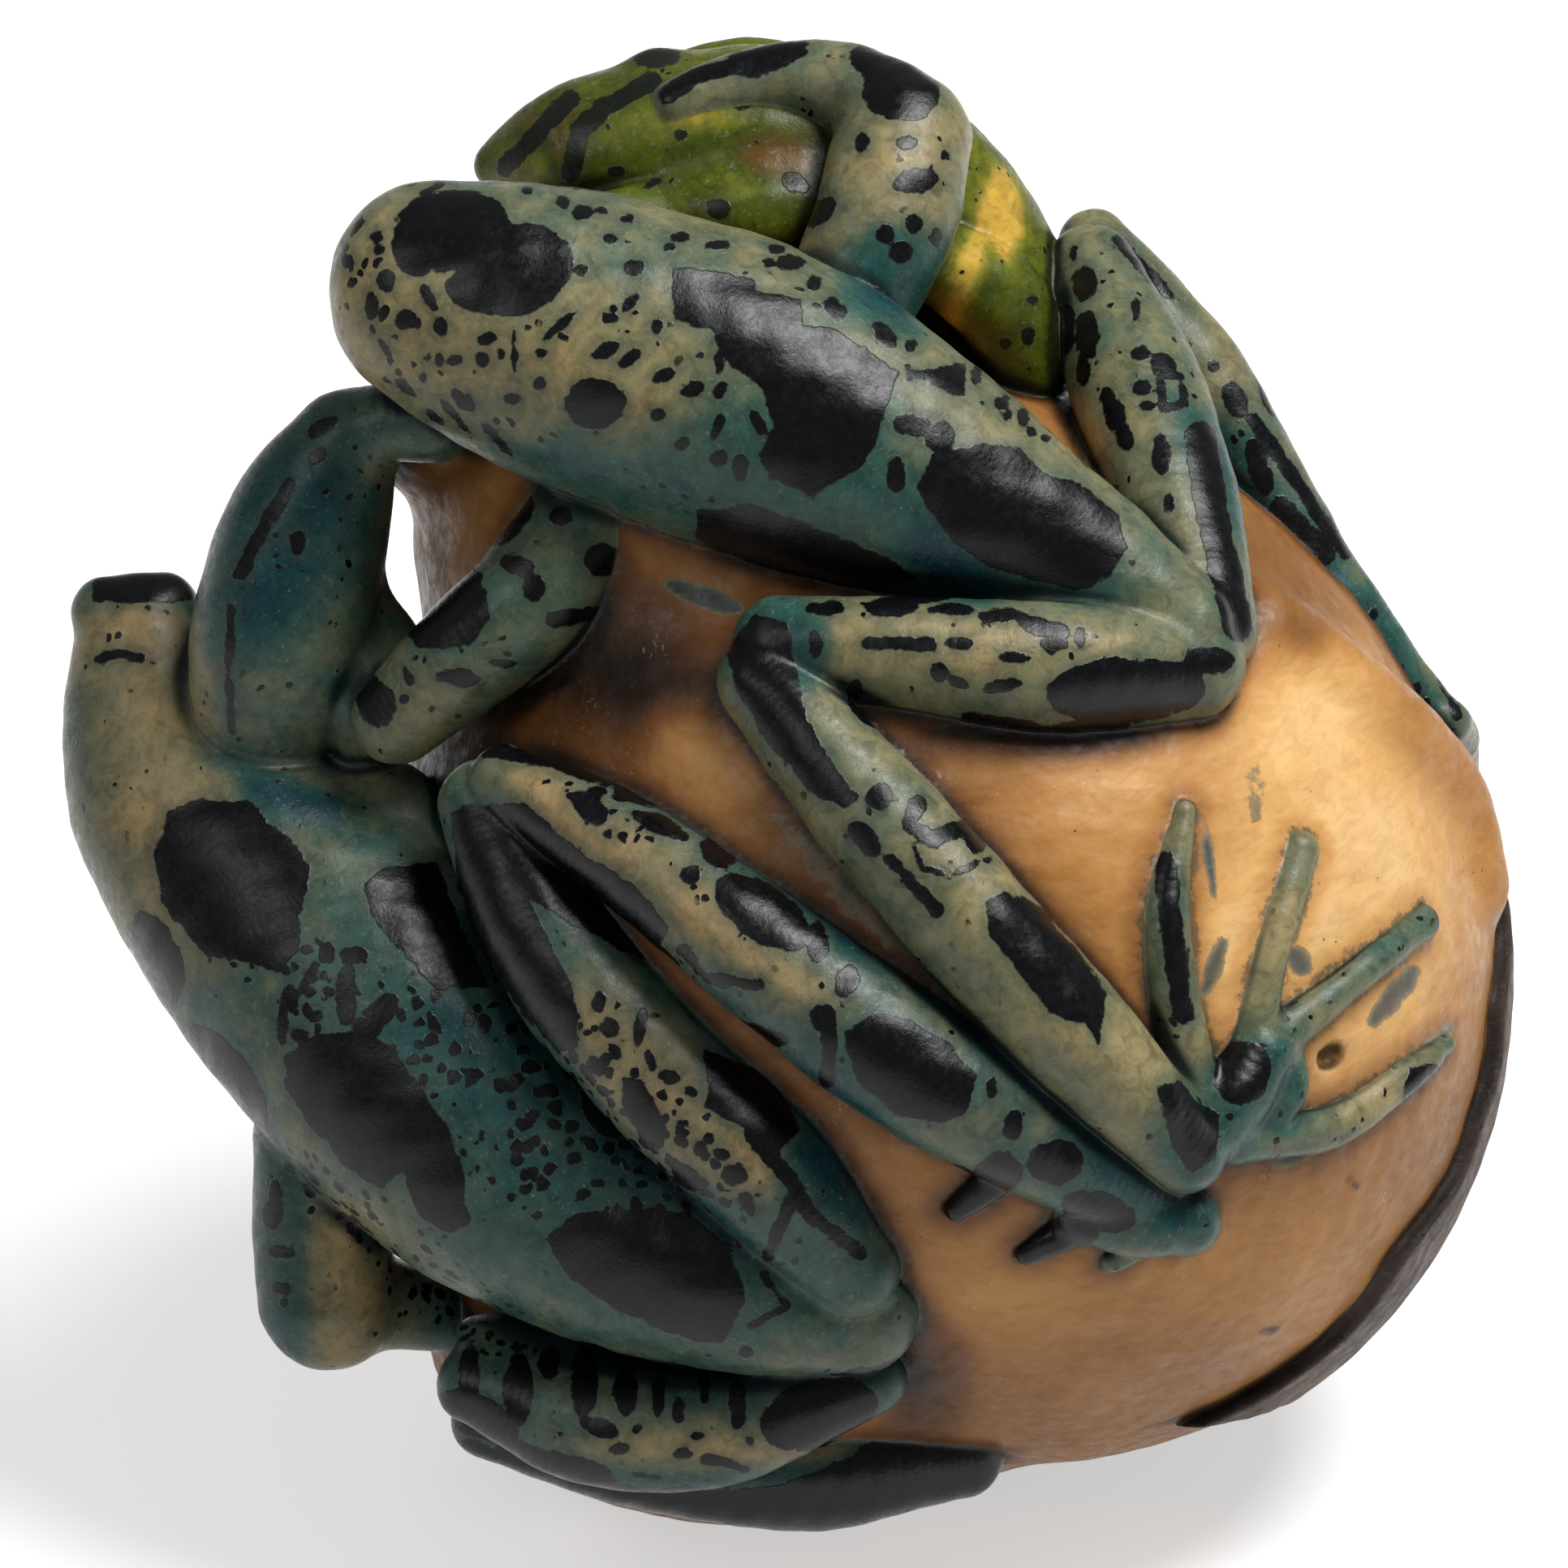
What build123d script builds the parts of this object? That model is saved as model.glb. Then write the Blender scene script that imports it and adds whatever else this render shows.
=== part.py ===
from build123d import *
import math
import os

# Tagua nut carving: three frogs climbing over one vegetable-ivory kernel.
# The frame stands on the flat base: +Z up, the front view looks along +Y and down by view_tilt.
# Routes are given in pixels of that front view: column to the right, row down, and nearness
# towards the viewer. The middle of the flat base is the origin.

# Driving dimensions, in millimetres and degrees
figure_width = 48.6
view_tilt = 30.0

nut_half_length = 19.6
nut_radius = 17.2
nut_turn = 50.0
crown_half_length = 9.5
crown_radius = 11.3
foot_half_height = 7.1
foot_radius = 11.0
coat_thickness = 0.6
coat_edge_turn = 28.0

upper_torso_radius = 5.15
upper_arm_radius = 2.45
upper_thigh_radius = 2.25
upper_shank_radius = 2.1
upper_far_shank_radius = 1.5
upper_palm_radius = 1.35
lower_torso_radius = 5.8
lower_arm_radius = 3.1
lower_elbow_radius = 2.35
lower_thigh_radius = 2.4
lower_shank_radius = 2.3
lower_palm_radius = 1.2
green_torso_radius = 3.35
green_arm_radius = 1.4
green_thigh_radius = 2.15
green_shank_radius = 1.4
green_palm_radius = 1.0
toe_radius = 0.62

# Shares
torso_depth_share = 0.9
limb_depth_share = 1.0
end_bulge_share = 0.85
section_gap_share = 0.8
crumb_share = 0.08
foot_lift_share = 0.2

END_TURNS = (33.0, 58.0, 76.0)
FRONT, BACK = 1, -1

# Front view
FIGURE_WIDTH_PIXELS = 1797
BASE_MIDDLE_PIXELS = (920, 1764, -384)
NUT_MIDDLE_PIXELS = (1170, 1115, -60)
CROWN_MIDDLE_PIXELS = (870, 640, 0)
FOOT_MIDDLE_PIXELS = (930, 1620, -150)
COAT_EDGE_PIXELS = (1700, 1400, 40)

# Each route runs as (column, row, nearness), and each girth as a share of the form's radius.
UPPER_TORSO_PIXELS = [
    (530, 362, 395), (700, 414, 408), (897, 482, 415), (1080, 566, 425), (1260, 655, 440),
    (1450, 768, 455),
]
UPPER_TORSO_SHARES = [0.76, 0.96, 1.0, 0.87, 0.59, 0.34]

UPPER_RIGHT_ARM_PIXELS = [(1062, 355, 300), (1092, 268, 288), (1108, 175, 240)]
UPPER_RIGHT_ARM_SHARES = [0.88, 1.0, 0.9]
UPPER_RIGHT_FOREARM_PIXELS = [(1095, 145, 225), (1035, 104, 180), (970, 88, 145), (905, 98, 120)]
UPPER_RIGHT_FOREARM_SHARES = [0.76, 0.62, 0.5, 0.4]

UPPER_LEFT_ARM_PIXELS = [(740, 630, 330), (660, 735, 350), (570, 815, 325), (488, 888, 280)]
UPPER_LEFT_ARM_SHARES = [0.82, 0.86, 0.76, 0.62]

UPPER_RIGHT_THIGH_PIXELS = [(1345, 330, 70), (1392, 465, 165), (1435, 600, 275), (1492, 775, 405)]
UPPER_RIGHT_THIGH_SHARES = [0.64, 0.97, 1.0, 0.72]

UPPER_LEFT_THIGH_PIXELS = [(950, 790, 500), (1120, 805, 530), (1300, 825, 522), (1475, 822, 445)]
UPPER_LEFT_THIGH_SHARES = [0.66, 0.82, 0.96, 0.82]

UPPER_RIGHT_SHANK_PIXELS = [
    (1350, 302, 20), (1480, 462, 25), (1595, 665, 25), (1700, 806, 12), (1785, 892, 0),
]
UPPER_RIGHT_SHANK_SHARES = [0.84, 1.0, 0.94, 0.72, 0.46]

UPPER_LEFT_SHANK_PIXELS = [
    (942, 838, 515), (1060, 985, 580), (1200, 1142, 602), (1340, 1298, 568), (1450, 1412, 500),
]
UPPER_LEFT_SHANK_SHARES = [0.8, 0.96, 1.0, 0.94, 0.72]

LOWER_TORSO_PIXELS = [
    (178, 800, 40), (225, 960, 62), (335, 1090, 105), (455, 1218, 150), (595, 1362, 205),
    (745, 1478, 272), (900, 1555, 335), (1060, 1612, 368),
]
LOWER_TORSO_SHARES = [0.47, 0.68, 0.88, 1.0, 0.98, 0.8, 0.6, 0.36]

LOWER_RIGHT_ARM_PIXELS = [
    (335, 925, 140), (352, 790, 185), (385, 640, 225), (440, 545, 262), (520, 520, 300),
]
LOWER_RIGHT_ARM_SHARES = [0.76, 1.0, 0.83, 0.54, 0.42]

LOWER_LEFT_ARM_PIXELS = [(390, 1400, 95), (398, 1500, 75), (404, 1600, 60)]
LOWER_LEFT_ARM_SHARES = [0.9, 0.98, 1.0]
LOWER_LEFT_FOREARM_PIXELS = [(410, 1595, 55), (485, 1605, 20), (565, 1625, -10), (650, 1655, -30)]
LOWER_LEFT_FOREARM_SHARES = [0.84, 0.68, 0.54, 0.44]

LOWER_RIGHT_THIGH_PIXELS = [
    (600, 990, 350), (690, 1165, 398), (820, 1318, 440), (945, 1435, 458), (1050, 1560, 425),
]
LOWER_RIGHT_THIGH_SHARES = [0.68, 0.95, 1.0, 0.98, 0.74]

LOWER_LEFT_THIGH_PIXELS = [(590, 1702, 215), (720, 1748, 252), (870, 1756, 270), (1078, 1692, 290)]
LOWER_LEFT_THIGH_SHARES = [0.58, 0.82, 0.84, 0.52]

LOWER_RIGHT_SHANK_PIXELS = [
    (625, 960, 385), (770, 1045, 468), (940, 1172, 550), (1120, 1308, 572), (1300, 1418, 520),
    (1462, 1508, 432),
]
LOWER_RIGHT_SHANK_SHARES = [0.56, 0.8, 0.94, 1.0, 0.76, 0.45]

LOWER_LEFT_SHANK_PIXELS = [(600, 1748, 110), (780, 1784, 120), (1000, 1801, 95), (1190, 1785, 50)]
LOWER_LEFT_SHANK_SHARES = [0.6, 0.84, 0.98, 0.72]

GREEN_TORSO_PIXELS = [
    (620, 198, 90), (780, 186, 104), (950, 184, 98), (1110, 240, 70), (1258, 410, 38),
]
GREEN_TORSO_SHARES = [0.42, 0.85, 0.98, 1.0, 0.74]

GREEN_RIGHT_ARM_PIXELS = [(1030, 118, -10), (920, 98, 5), (800, 114, 25), (735, 145, 40)]
GREEN_RIGHT_ARM_SHARES = [0.95, 1.0, 0.76, 0.6]

GREEN_LEFT_ARM_PIXELS = [(830, 270, 190), (715, 300, 205), (600, 320, 175)]
GREEN_LEFT_ARM_SHARES = [0.95, 1.0, 0.66]

GREEN_RIGHT_THIGH_PIXELS = [
    (1230, 385, -75), (1120, 345, -195), (1000, 345, -285), (893, 388, -350),
]
GREEN_RIGHT_THIGH_SHARES = [0.9, 1.0, 0.86, 0.66]

GREEN_LEFT_THIGH_PIXELS = [(1268, 452, 100), (1225, 370, 148), (1150, 322, 195)]
GREEN_LEFT_THIGH_SHARES = [0.74, 0.8, 0.66]

GREEN_RIGHT_SHANK_PIXELS = [(888, 402, -350), (1005, 520, -438), (1110, 620, -548), (1188, 700, -612)]
GREEN_RIGHT_SHANK_SHARES = [0.96, 1.0, 0.86, 0.6]

# The feet lie on the nut, so their routes need only (column, row).
UPPER_LEFT_PALM_PIXELS = [(1462, 1408), (1510, 1350), (1545, 1298)]
UPPER_LEFT_TOES_PIXELS = [
    [(1470, 1370), (1425, 1200), (1442, 1020)],
    [(1538, 1300), (1562, 1160), (1596, 1035)],
    [(1540, 1310), (1665, 1200), (1752, 1135)],
    [(1495, 1400), (1630, 1388), (1762, 1295)],
]
UPPER_RIGHT_PALM_PIXELS = [(1788, 905), (1795, 950), (1772, 990)]
UPPER_RIGHT_TOES_PIXELS = [
    [(1785, 965), (1790, 1040), (1770, 1120)],
    [(1775, 965), (1735, 1040), (1690, 1110)],
    [(1775, 955), (1700, 985), (1630, 1025)],
]
LOWER_RIGHT_PALM_PIXELS = [(1478, 1512), (1440, 1518), (1395, 1505)]
LOWER_RIGHT_TOES_PIXELS = [
    [(1415, 1512), (1300, 1512), (1200, 1484)],
    [(1425, 1520), (1350, 1545), (1275, 1562)],
]
LOWER_LEFT_PALM_PIXELS = [(1215, 1768), (1255, 1766), (1290, 1758)]
LOWER_LEFT_TOES_PIXELS = [
    [(1280, 1765), (1340, 1772), (1405, 1770)],
    [(1280, 1760), (1330, 1730), (1385, 1695)],
]
GREEN_RIGHT_PALM_PIXELS = [(1180, 692), (1205, 730), (1215, 765)]
GREEN_RIGHT_TOES_PIXELS = [
    [(1205, 725), (1262, 740), (1325, 762)],
    [(1212, 750), (1255, 810), (1290, 870)],
    [(1205, 750), (1195, 820), (1180, 890)],
]
PALM_SHARES = [0.8, 1.0, 0.8]
TOE_SHARES = [1.0, 0.9, 1.0]

# Worked out from the driving dimensions
pixel = figure_width / FIGURE_WIDTH_PIXELS
tilt = math.radians(view_tilt)
view_right = Vector(1, 0, 0)
view_up = Vector(0, math.sin(tilt), math.cos(tilt))
view_near = Vector(0, -math.cos(tilt), math.sin(tilt))


def place(spot):
    """The point in the part's frame of a (column, row, nearness) spot of the front view."""
    column, row, near = spot
    middle_column, middle_row, middle_near = BASE_MIDDLE_PIXELS
    return (
        view_right * ((column - middle_column) * pixel)
        + view_up * ((middle_row - row) * pixel)
        + view_near * ((near - middle_near) * pixel)
    )


def spheroid(middle, long_direction, half_length, radius):
    """An egg about its long axis."""
    frame = Plane(origin=middle, x_dir=long_direction, z_dir=view_near.cross(long_direction))
    with BuildPart() as egg:
        Sphere(1)
        scale(by=(half_length, radius, radius))
    return frame.location * egg.part


def seated(spots, side, lift):
    """The route of (column, row) spots on the nut's front, side 1, or its back, side -1."""
    middle_column, middle_row, middle_near = NUT_MIDDLE_PIXELS
    turn = math.radians(nut_turn)
    route = []
    for column, row in spots:
        right, down = (column - middle_column) * pixel, (row - middle_row) * pixel
        along = (right * math.cos(turn) + down * math.sin(turn)) / nut_half_length
        across = (right * math.sin(turn) - down * math.cos(turn)) / nut_radius
        height = nut_radius * math.sqrt(max(1 - along**2 - across**2, 0))
        route.append((column, row, middle_near + side * (height + lift) / pixel))
    return route


def sections(route, girths, radius):
    """Middle, direction and radius of each cross section, evenly spaced, with rounded ends."""
    spots = [place(spot) for spot in route]
    reaches = [0.0]
    for one, other in zip(spots, spots[1:]):
        reaches.append(reaches[-1] + (other - one).length)
    line = Spline(spots)
    swell = Spline([(reach, girth * radius) for reach, girth in zip(reaches, girths)])
    gaps = max(len(route), math.ceil(reaches[-1] / (section_gap_share * radius)))
    rings = [(line @ (i / gaps), line % (i / gaps), (swell @ (i / gaps)).Y) for i in range(gaps + 1)]
    (first, first_way, first_radius), (last, last_way, last_radius) = rings[0], rings[-1]
    for turn in END_TURNS:
        reach = end_bulge_share * math.sin(math.radians(turn))
        shrink = math.cos(math.radians(turn))
        rings.insert(0, (first - first_way * (first_radius * reach), first_way, first_radius * shrink))
        rings.append((last + last_way * (last_radius * reach), last_way, last_radius * shrink))
    return rings


def limb(route, girths, radius, depth_share=limb_depth_share):
    """A rounded form that swells and tapers along its route."""
    rings = sections(route, girths, radius)
    across = rings[0][1].cross(view_near)
    with BuildPart() as form:
        for middle, way, ring_radius in rings:
            across = across - way * across.dot(way)
            with BuildSketch(Plane(origin=middle, x_dir=across, z_dir=way)):
                Ellipse(ring_radius, ring_radius * depth_share)
        loft()
    return form.part


def bent_limb(radius, *stretches):
    """A limb with a sharp bend: one rounded form for each stretch, joined at the joint."""
    with BuildPart() as form:
        for route, girths in stretches:
            add(limb(route, girths, radius))
    return form.part


def foot(palm, toes, side, palm_radius):
    """A palm with its spread toes, lying on the nut."""
    skin = coat_thickness if side < 0 else 0
    with BuildPart() as form:
        palm_route = seated(palm, side, skin + foot_lift_share * palm_radius)
        add(limb(palm_route, PALM_SHARES, palm_radius))
        for toe in toes:
            toe_route = seated(toe, side, skin + foot_lift_share * toe_radius)
            add(limb(toe_route, TOE_SHARES, toe_radius))
    return form.part


# The kernel: the nut's body, the crown under the upper frogs and the stub that it stands on
nut_long = view_right * math.cos(math.radians(nut_turn)) - view_up * math.sin(
    math.radians(nut_turn)
)
nut_middle = place(NUT_MIDDLE_PIXELS)
with BuildPart() as nut_kernel:
    add(spheroid(nut_middle, nut_long, nut_half_length, nut_radius))
    add(spheroid(place(CROWN_MIDDLE_PIXELS), view_right, crown_half_length, crown_radius))
    add(spheroid(place(FOOT_MIDDLE_PIXELS), view_up, foot_half_height, foot_radius))

# The dark seed coat left on the back and the lower right of the nut
coat_way = (
    nut_long * math.sin(math.radians(coat_edge_turn))
    - view_near * math.cos(math.radians(coat_edge_turn))
)
with BuildPart() as seed_coat:
    add(
        spheroid(
            nut_middle, nut_long, nut_half_length + coat_thickness, nut_radius + coat_thickness
        )
    )
    split(bisect_by=Plane(origin=place(COAT_EDGE_PIXELS), z_dir=coat_way), keep=Keep.TOP)

# The carved forms, each one cut by those before it
forms = {
    "nut_kernel": nut_kernel.part,
    "seed_coat": seed_coat.part,
    "upper_frog_torso": limb(
        UPPER_TORSO_PIXELS, UPPER_TORSO_SHARES, upper_torso_radius, torso_depth_share
    ),
    "lower_frog_torso": limb(
        LOWER_TORSO_PIXELS, LOWER_TORSO_SHARES, lower_torso_radius, torso_depth_share
    ),
    "green_frog_torso": limb(GREEN_TORSO_PIXELS, GREEN_TORSO_SHARES, green_torso_radius),
    "upper_frog_left_thigh": limb(
        UPPER_LEFT_THIGH_PIXELS, UPPER_LEFT_THIGH_SHARES, upper_thigh_radius
    ),
    "upper_frog_right_thigh": limb(
        UPPER_RIGHT_THIGH_PIXELS, UPPER_RIGHT_THIGH_SHARES, upper_thigh_radius
    ),
    "lower_frog_right_thigh": limb(
        LOWER_RIGHT_THIGH_PIXELS, LOWER_RIGHT_THIGH_SHARES, lower_thigh_radius
    ),
    "lower_frog_left_thigh": limb(
        LOWER_LEFT_THIGH_PIXELS, LOWER_LEFT_THIGH_SHARES, lower_thigh_radius
    ),
    "upper_frog_left_shank": limb(
        UPPER_LEFT_SHANK_PIXELS, UPPER_LEFT_SHANK_SHARES, upper_shank_radius
    ),
    "upper_frog_right_shank": limb(
        UPPER_RIGHT_SHANK_PIXELS, UPPER_RIGHT_SHANK_SHARES, upper_far_shank_radius
    ),
    "lower_frog_right_shank": limb(
        LOWER_RIGHT_SHANK_PIXELS, LOWER_RIGHT_SHANK_SHARES, lower_shank_radius
    ),
    "lower_frog_left_shank": limb(
        LOWER_LEFT_SHANK_PIXELS, LOWER_LEFT_SHANK_SHARES, lower_shank_radius
    ),
    "upper_frog_right_arm": bent_limb(
        upper_arm_radius,
        (UPPER_RIGHT_ARM_PIXELS, UPPER_RIGHT_ARM_SHARES),
        (UPPER_RIGHT_FOREARM_PIXELS, UPPER_RIGHT_FOREARM_SHARES),
    ),
    "upper_frog_left_arm": limb(UPPER_LEFT_ARM_PIXELS, UPPER_LEFT_ARM_SHARES, upper_arm_radius),
    "lower_frog_right_arm": limb(
        LOWER_RIGHT_ARM_PIXELS, LOWER_RIGHT_ARM_SHARES, lower_arm_radius
    ),
    "lower_frog_left_arm": bent_limb(
        lower_elbow_radius,
        (LOWER_LEFT_ARM_PIXELS, LOWER_LEFT_ARM_SHARES),
        (LOWER_LEFT_FOREARM_PIXELS, LOWER_LEFT_FOREARM_SHARES),
    ),
    "green_frog_right_thigh": limb(
        GREEN_RIGHT_THIGH_PIXELS, GREEN_RIGHT_THIGH_SHARES, green_thigh_radius
    ),
    "green_frog_left_thigh": limb(
        GREEN_LEFT_THIGH_PIXELS, GREEN_LEFT_THIGH_SHARES, green_thigh_radius
    ),
    "green_frog_right_shank": limb(
        GREEN_RIGHT_SHANK_PIXELS, GREEN_RIGHT_SHANK_SHARES, green_shank_radius
    ),
    "green_frog_right_arm": limb(
        GREEN_RIGHT_ARM_PIXELS, GREEN_RIGHT_ARM_SHARES, green_arm_radius
    ),
    "green_frog_left_arm": limb(GREEN_LEFT_ARM_PIXELS, GREEN_LEFT_ARM_SHARES, green_arm_radius),
    "upper_frog_left_foot": foot(
        UPPER_LEFT_PALM_PIXELS, UPPER_LEFT_TOES_PIXELS, FRONT, upper_palm_radius
    ),
    "upper_frog_right_foot": foot(
        UPPER_RIGHT_PALM_PIXELS, UPPER_RIGHT_TOES_PIXELS, BACK, upper_palm_radius
    ),
    "lower_frog_right_foot": foot(
        LOWER_RIGHT_PALM_PIXELS, LOWER_RIGHT_TOES_PIXELS, FRONT, lower_palm_radius
    ),
    "lower_frog_left_foot": foot(
        LOWER_LEFT_PALM_PIXELS, LOWER_LEFT_TOES_PIXELS, BACK, lower_palm_radius
    ),
    "green_frog_right_foot": foot(
        GREEN_RIGHT_PALM_PIXELS, GREEN_RIGHT_TOES_PIXELS, BACK, green_palm_radius
    ),
}

def boxes_meet(one, other):
    """Whether the boxes of two forms overlap."""
    a, b = one.bounding_box(), other.bounding_box()
    return all(
        low_a < high_b and low_b < high_a
        for low_a, high_a, low_b, high_b in zip(
            tuple(a.min), tuple(a.max), tuple(b.min), tuple(b.max)
        )
    )


def carve(name, form, before):
    """The form as a piece: cut by the base's plane and the forms before it, without crumbs."""
    with BuildPart() as cut:
        add(form)
        split(bisect_by=Plane.XY, keep=Keep.TOP)
        for other in before:
            if boxes_meet(form, other):
                add(other, mode=Mode.SUBTRACT)
    solids = cut.part.solids().sort_by(SortBy.VOLUME, reverse=True)
    with BuildPart() as piece:
        for solid in solids:
            if solid.volume > crumb_share * solids[0].volume:
                add(solid)
    piece.part.label = name
    return piece.part


os.makedirs("parts", exist_ok=True)
carved_before = []
for name, form in forms.items():
    export_step(carve(name, form, carved_before), f"parts/{name}.step")
    carved_before.append(form)
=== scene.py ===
import math

import bpy
import numpy as np
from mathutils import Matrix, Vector

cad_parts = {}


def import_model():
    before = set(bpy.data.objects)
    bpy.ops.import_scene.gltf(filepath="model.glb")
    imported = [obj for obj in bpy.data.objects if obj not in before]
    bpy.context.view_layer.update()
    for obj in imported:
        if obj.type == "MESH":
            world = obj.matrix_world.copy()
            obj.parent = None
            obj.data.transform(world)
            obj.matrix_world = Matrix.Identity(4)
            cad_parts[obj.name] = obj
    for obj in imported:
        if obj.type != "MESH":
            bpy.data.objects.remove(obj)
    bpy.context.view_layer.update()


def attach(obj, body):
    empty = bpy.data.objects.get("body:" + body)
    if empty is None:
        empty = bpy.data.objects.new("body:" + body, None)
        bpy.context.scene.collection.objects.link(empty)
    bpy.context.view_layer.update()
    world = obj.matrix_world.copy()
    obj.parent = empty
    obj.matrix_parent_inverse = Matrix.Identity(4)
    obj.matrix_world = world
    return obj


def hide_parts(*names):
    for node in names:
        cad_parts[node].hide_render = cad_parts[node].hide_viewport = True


# A carved tagua nut with three frogs. The forms are sculpted as distance fields in the picture's
# own measure: column to the right, row down and nearness towards the viewer, all in picture
# pixels. Every skin is meshed from the same field, so that neighbours meet without a seam.

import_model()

PIXEL = 48.6 / 1797 / 1000
BASE = np.array((920.0, 1764.0, -384.0))
TILT = math.radians(30)
AXES = np.array(
    (
        (1, 0, 0),
        (0, -math.sin(TILT), -math.cos(TILT)),
        (0, -math.cos(TILT), math.sin(TILT)),
    )
)
# The skins' grid cells, and how many of them a block has along its edge
FINE_CELL = 4.2
KERNEL_CELL = 8.0
BLOCK = 4
# A limb's stations, and how far on each side of a block's own the closest is looked for
STATION_STEP, LEAST_STATIONS, SEARCH = 12, 8, 4
FAR = 1e6
NUT_MIDDLE = (1170, 1115, -60)
NUT_LONG, NUT_ROUND, NUT_TURN = 725, 636, 50
COAT = 22
COAT_EDGE = np.array((1700, 1400, 40))
COAT_WAY = np.array((0.302, 0.360, -0.883))
# Widths of the fillets between forms and at cuts
GROUP_BLEND = {"nut": 10.0, "coat": 10.0, "upper": 12.0, "lower": 12.0, "green": 12.0}
UNION_BLEND, GROOVE_BLEND, BITE_BLEND = 5.0, 8.0, 20.0
# How far beyond its own size a form can change its neighbours
MARGIN = 45.0
# Paint: how far outside itself a mark is followed, the facing below which a point counts as
# hidden from the front view, and the reaches at which creases and contacts are felt
FADE, HIDDEN = 60.0, -0.12
CREASE_REACHES, CONTACT_REACH = (8.0, 26.0), 70
# Strewn marks: the surface that each takes, and their least distance in sizes
MARK_AREA, MARK_APART = 900, 1.35
# Light: the lamps' places, sizes and watts, the sky's and the floor's glow, then the camera
LAMPS = {
    "key": ((0.12, -0.02, 0.29), 0.16, 1.2),
    "fill": ((-0.28, -0.22, 0.34), 0.2, 0.32),
}
LIT_SPOT = Vector((0, 0, 0.02))
SKY_GLOW, FLOOR_GLOW, FLOOR_SIZE = 0.22, 0.55, 4
PICTURE, SENSOR, DISTANCE = 1932, 36, 1.2


def world(points):
    """Metres in the part's frame, from (column, row, nearness)."""
    return (points - BASE) @ AXES * PIXEL


def height(points):
    """How far points lie above the floor, in pixels."""
    return (points - BASE) @ AXES[:, 2]


def smooth_line(stations, count):
    """Evenly spaced rows along the smooth line through the stations."""
    stations = np.array(stations, float)
    reach = np.r_[0, np.cumsum(np.linalg.norm(np.diff(stations[:, :3], axis=0), axis=1))]
    slope = np.empty_like(stations)
    slope[1:-1] = (stations[2:] - stations[:-2]) / (reach[2:] - reach[:-2])[:, None]
    slope[0] = (stations[1] - stations[0]) / (reach[1] - reach[0])
    slope[-1] = (stations[-1] - stations[-2]) / (reach[-1] - reach[-2])
    spots = np.linspace(0, reach[-1], count)
    k = np.clip(np.searchsorted(reach, spots, side="right") - 1, 0, len(reach) - 2)
    span = (reach[k + 1] - reach[k])[:, None]
    t = (spots[:, None] - reach[k][:, None]) / span
    return (
        stations[k] * (1 + 2 * t) * (1 - t) ** 2
        + slope[k] * span * t * (1 - t) ** 2
        + stations[k + 1] * t**2 * (3 - 2 * t)
        - slope[k + 1] * span * t**2 * (1 - t)
    )


class Limb:
    """A swept form: stations (column, row, nearness, radius); flat is its depth over its width."""

    def __init__(self, *stations, flat=1.0):
        length = np.linalg.norm(np.diff(np.array(stations)[:, :3], axis=0), axis=1).sum()
        rows = smooth_line(stations, max(LEAST_STATIONS, round(length / STATION_STEP)))
        self.flat = flat
        self.scale = np.array((1, 1, 1 / flat), np.float32)
        self.at = (rows[:, :3] * self.scale).astype(np.float32)
        self.radius = rows[:, 3].astype(np.float32)
        self.step = np.diff(self.at, axis=0)
        self.step_square = (self.step**2).sum(1)
        self.grow = np.diff(self.radius)
        reach = self.radius[:, None] * np.array((1, 1, flat))
        self.low = (rows[:, :3] - reach).min(0)
        self.high = (rows[:, :3] + reach).max(0)

    def closest(self, points):
        """The station that each point is closest to, for points that are few."""
        p = points * self.scale
        gap = np.sqrt(((p[:, None, :] - self.at[None]) ** 2).sum(2)) - self.radius
        return gap.argmin(1)

    def field(self, points, station):
        """Each point's distance from the limb, searched around the station it was given."""
        p = points * self.scale
        best = np.full(len(p), FAR, np.float32)
        for shift in range(-SEARCH, SEARCH):
            k = np.clip(station + shift, 0, len(self.step) - 1)
            off = p - self.at[k]
            t = np.clip(np.einsum("ij,ij->i", off, self.step[k]) / self.step_square[k], 0, 1)
            off -= self.step[k] * t[:, None]
            gap = np.sqrt(np.einsum("ij,ij->i", off, off)) - self.radius[k] - self.grow[k] * t
            np.minimum(best, gap, out=best)
        return best * min(1.0, self.flat)


class Egg:
    """An ellipsoid: middle, half sizes along, across and in depth, and its turn in the picture."""

    def __init__(self, middle, halves, turn=0.0, lean=0.0):
        c, s = math.cos(math.radians(turn)), math.sin(math.radians(turn))
        cl, sl = math.cos(math.radians(lean)), math.sin(math.radians(lean))
        along = np.array((c * cl, s * cl, sl))
        across = np.array((-s, c, 0))
        out = np.cross(along, across)
        self.middle = np.array(middle, np.float32)
        self.halves = np.array(halves, np.float32)
        self.ways = np.array((along, across, out), np.float32).T
        reach = np.sqrt(((self.ways * self.halves) ** 2).sum(1))
        self.low = self.middle - reach
        self.high = self.middle + reach

    def closest(self, points):
        return np.zeros(len(points), int)

    def field(self, points, station):
        q = (points - self.middle) @ self.ways / self.halves
        k0 = np.sqrt(np.einsum("ij,ij->i", q, q)) + 1e-6
        q /= self.halves
        k1 = np.sqrt(np.einsum("ij,ij->i", q, q)) + 1e-9
        return k0 * (k0 - 1) / k1


def merge(one, other, width):
    """The union of two fields with a soft fillet of that width."""
    h = np.maximum(width - np.abs(one - other), 0) / width
    return np.minimum(one, other) - h * h * width * 0.25


def carve(field, tool, width):
    """The field with the tool cut out of it, with a soft edge."""
    return -merge(-field, tool, width)


COAT_BITES = [
    Egg((1380, 1850, -60), (290, 120, 220), -8),
    Egg((1790, 960, 0), (150, 90, 220), 60),
]


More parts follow.
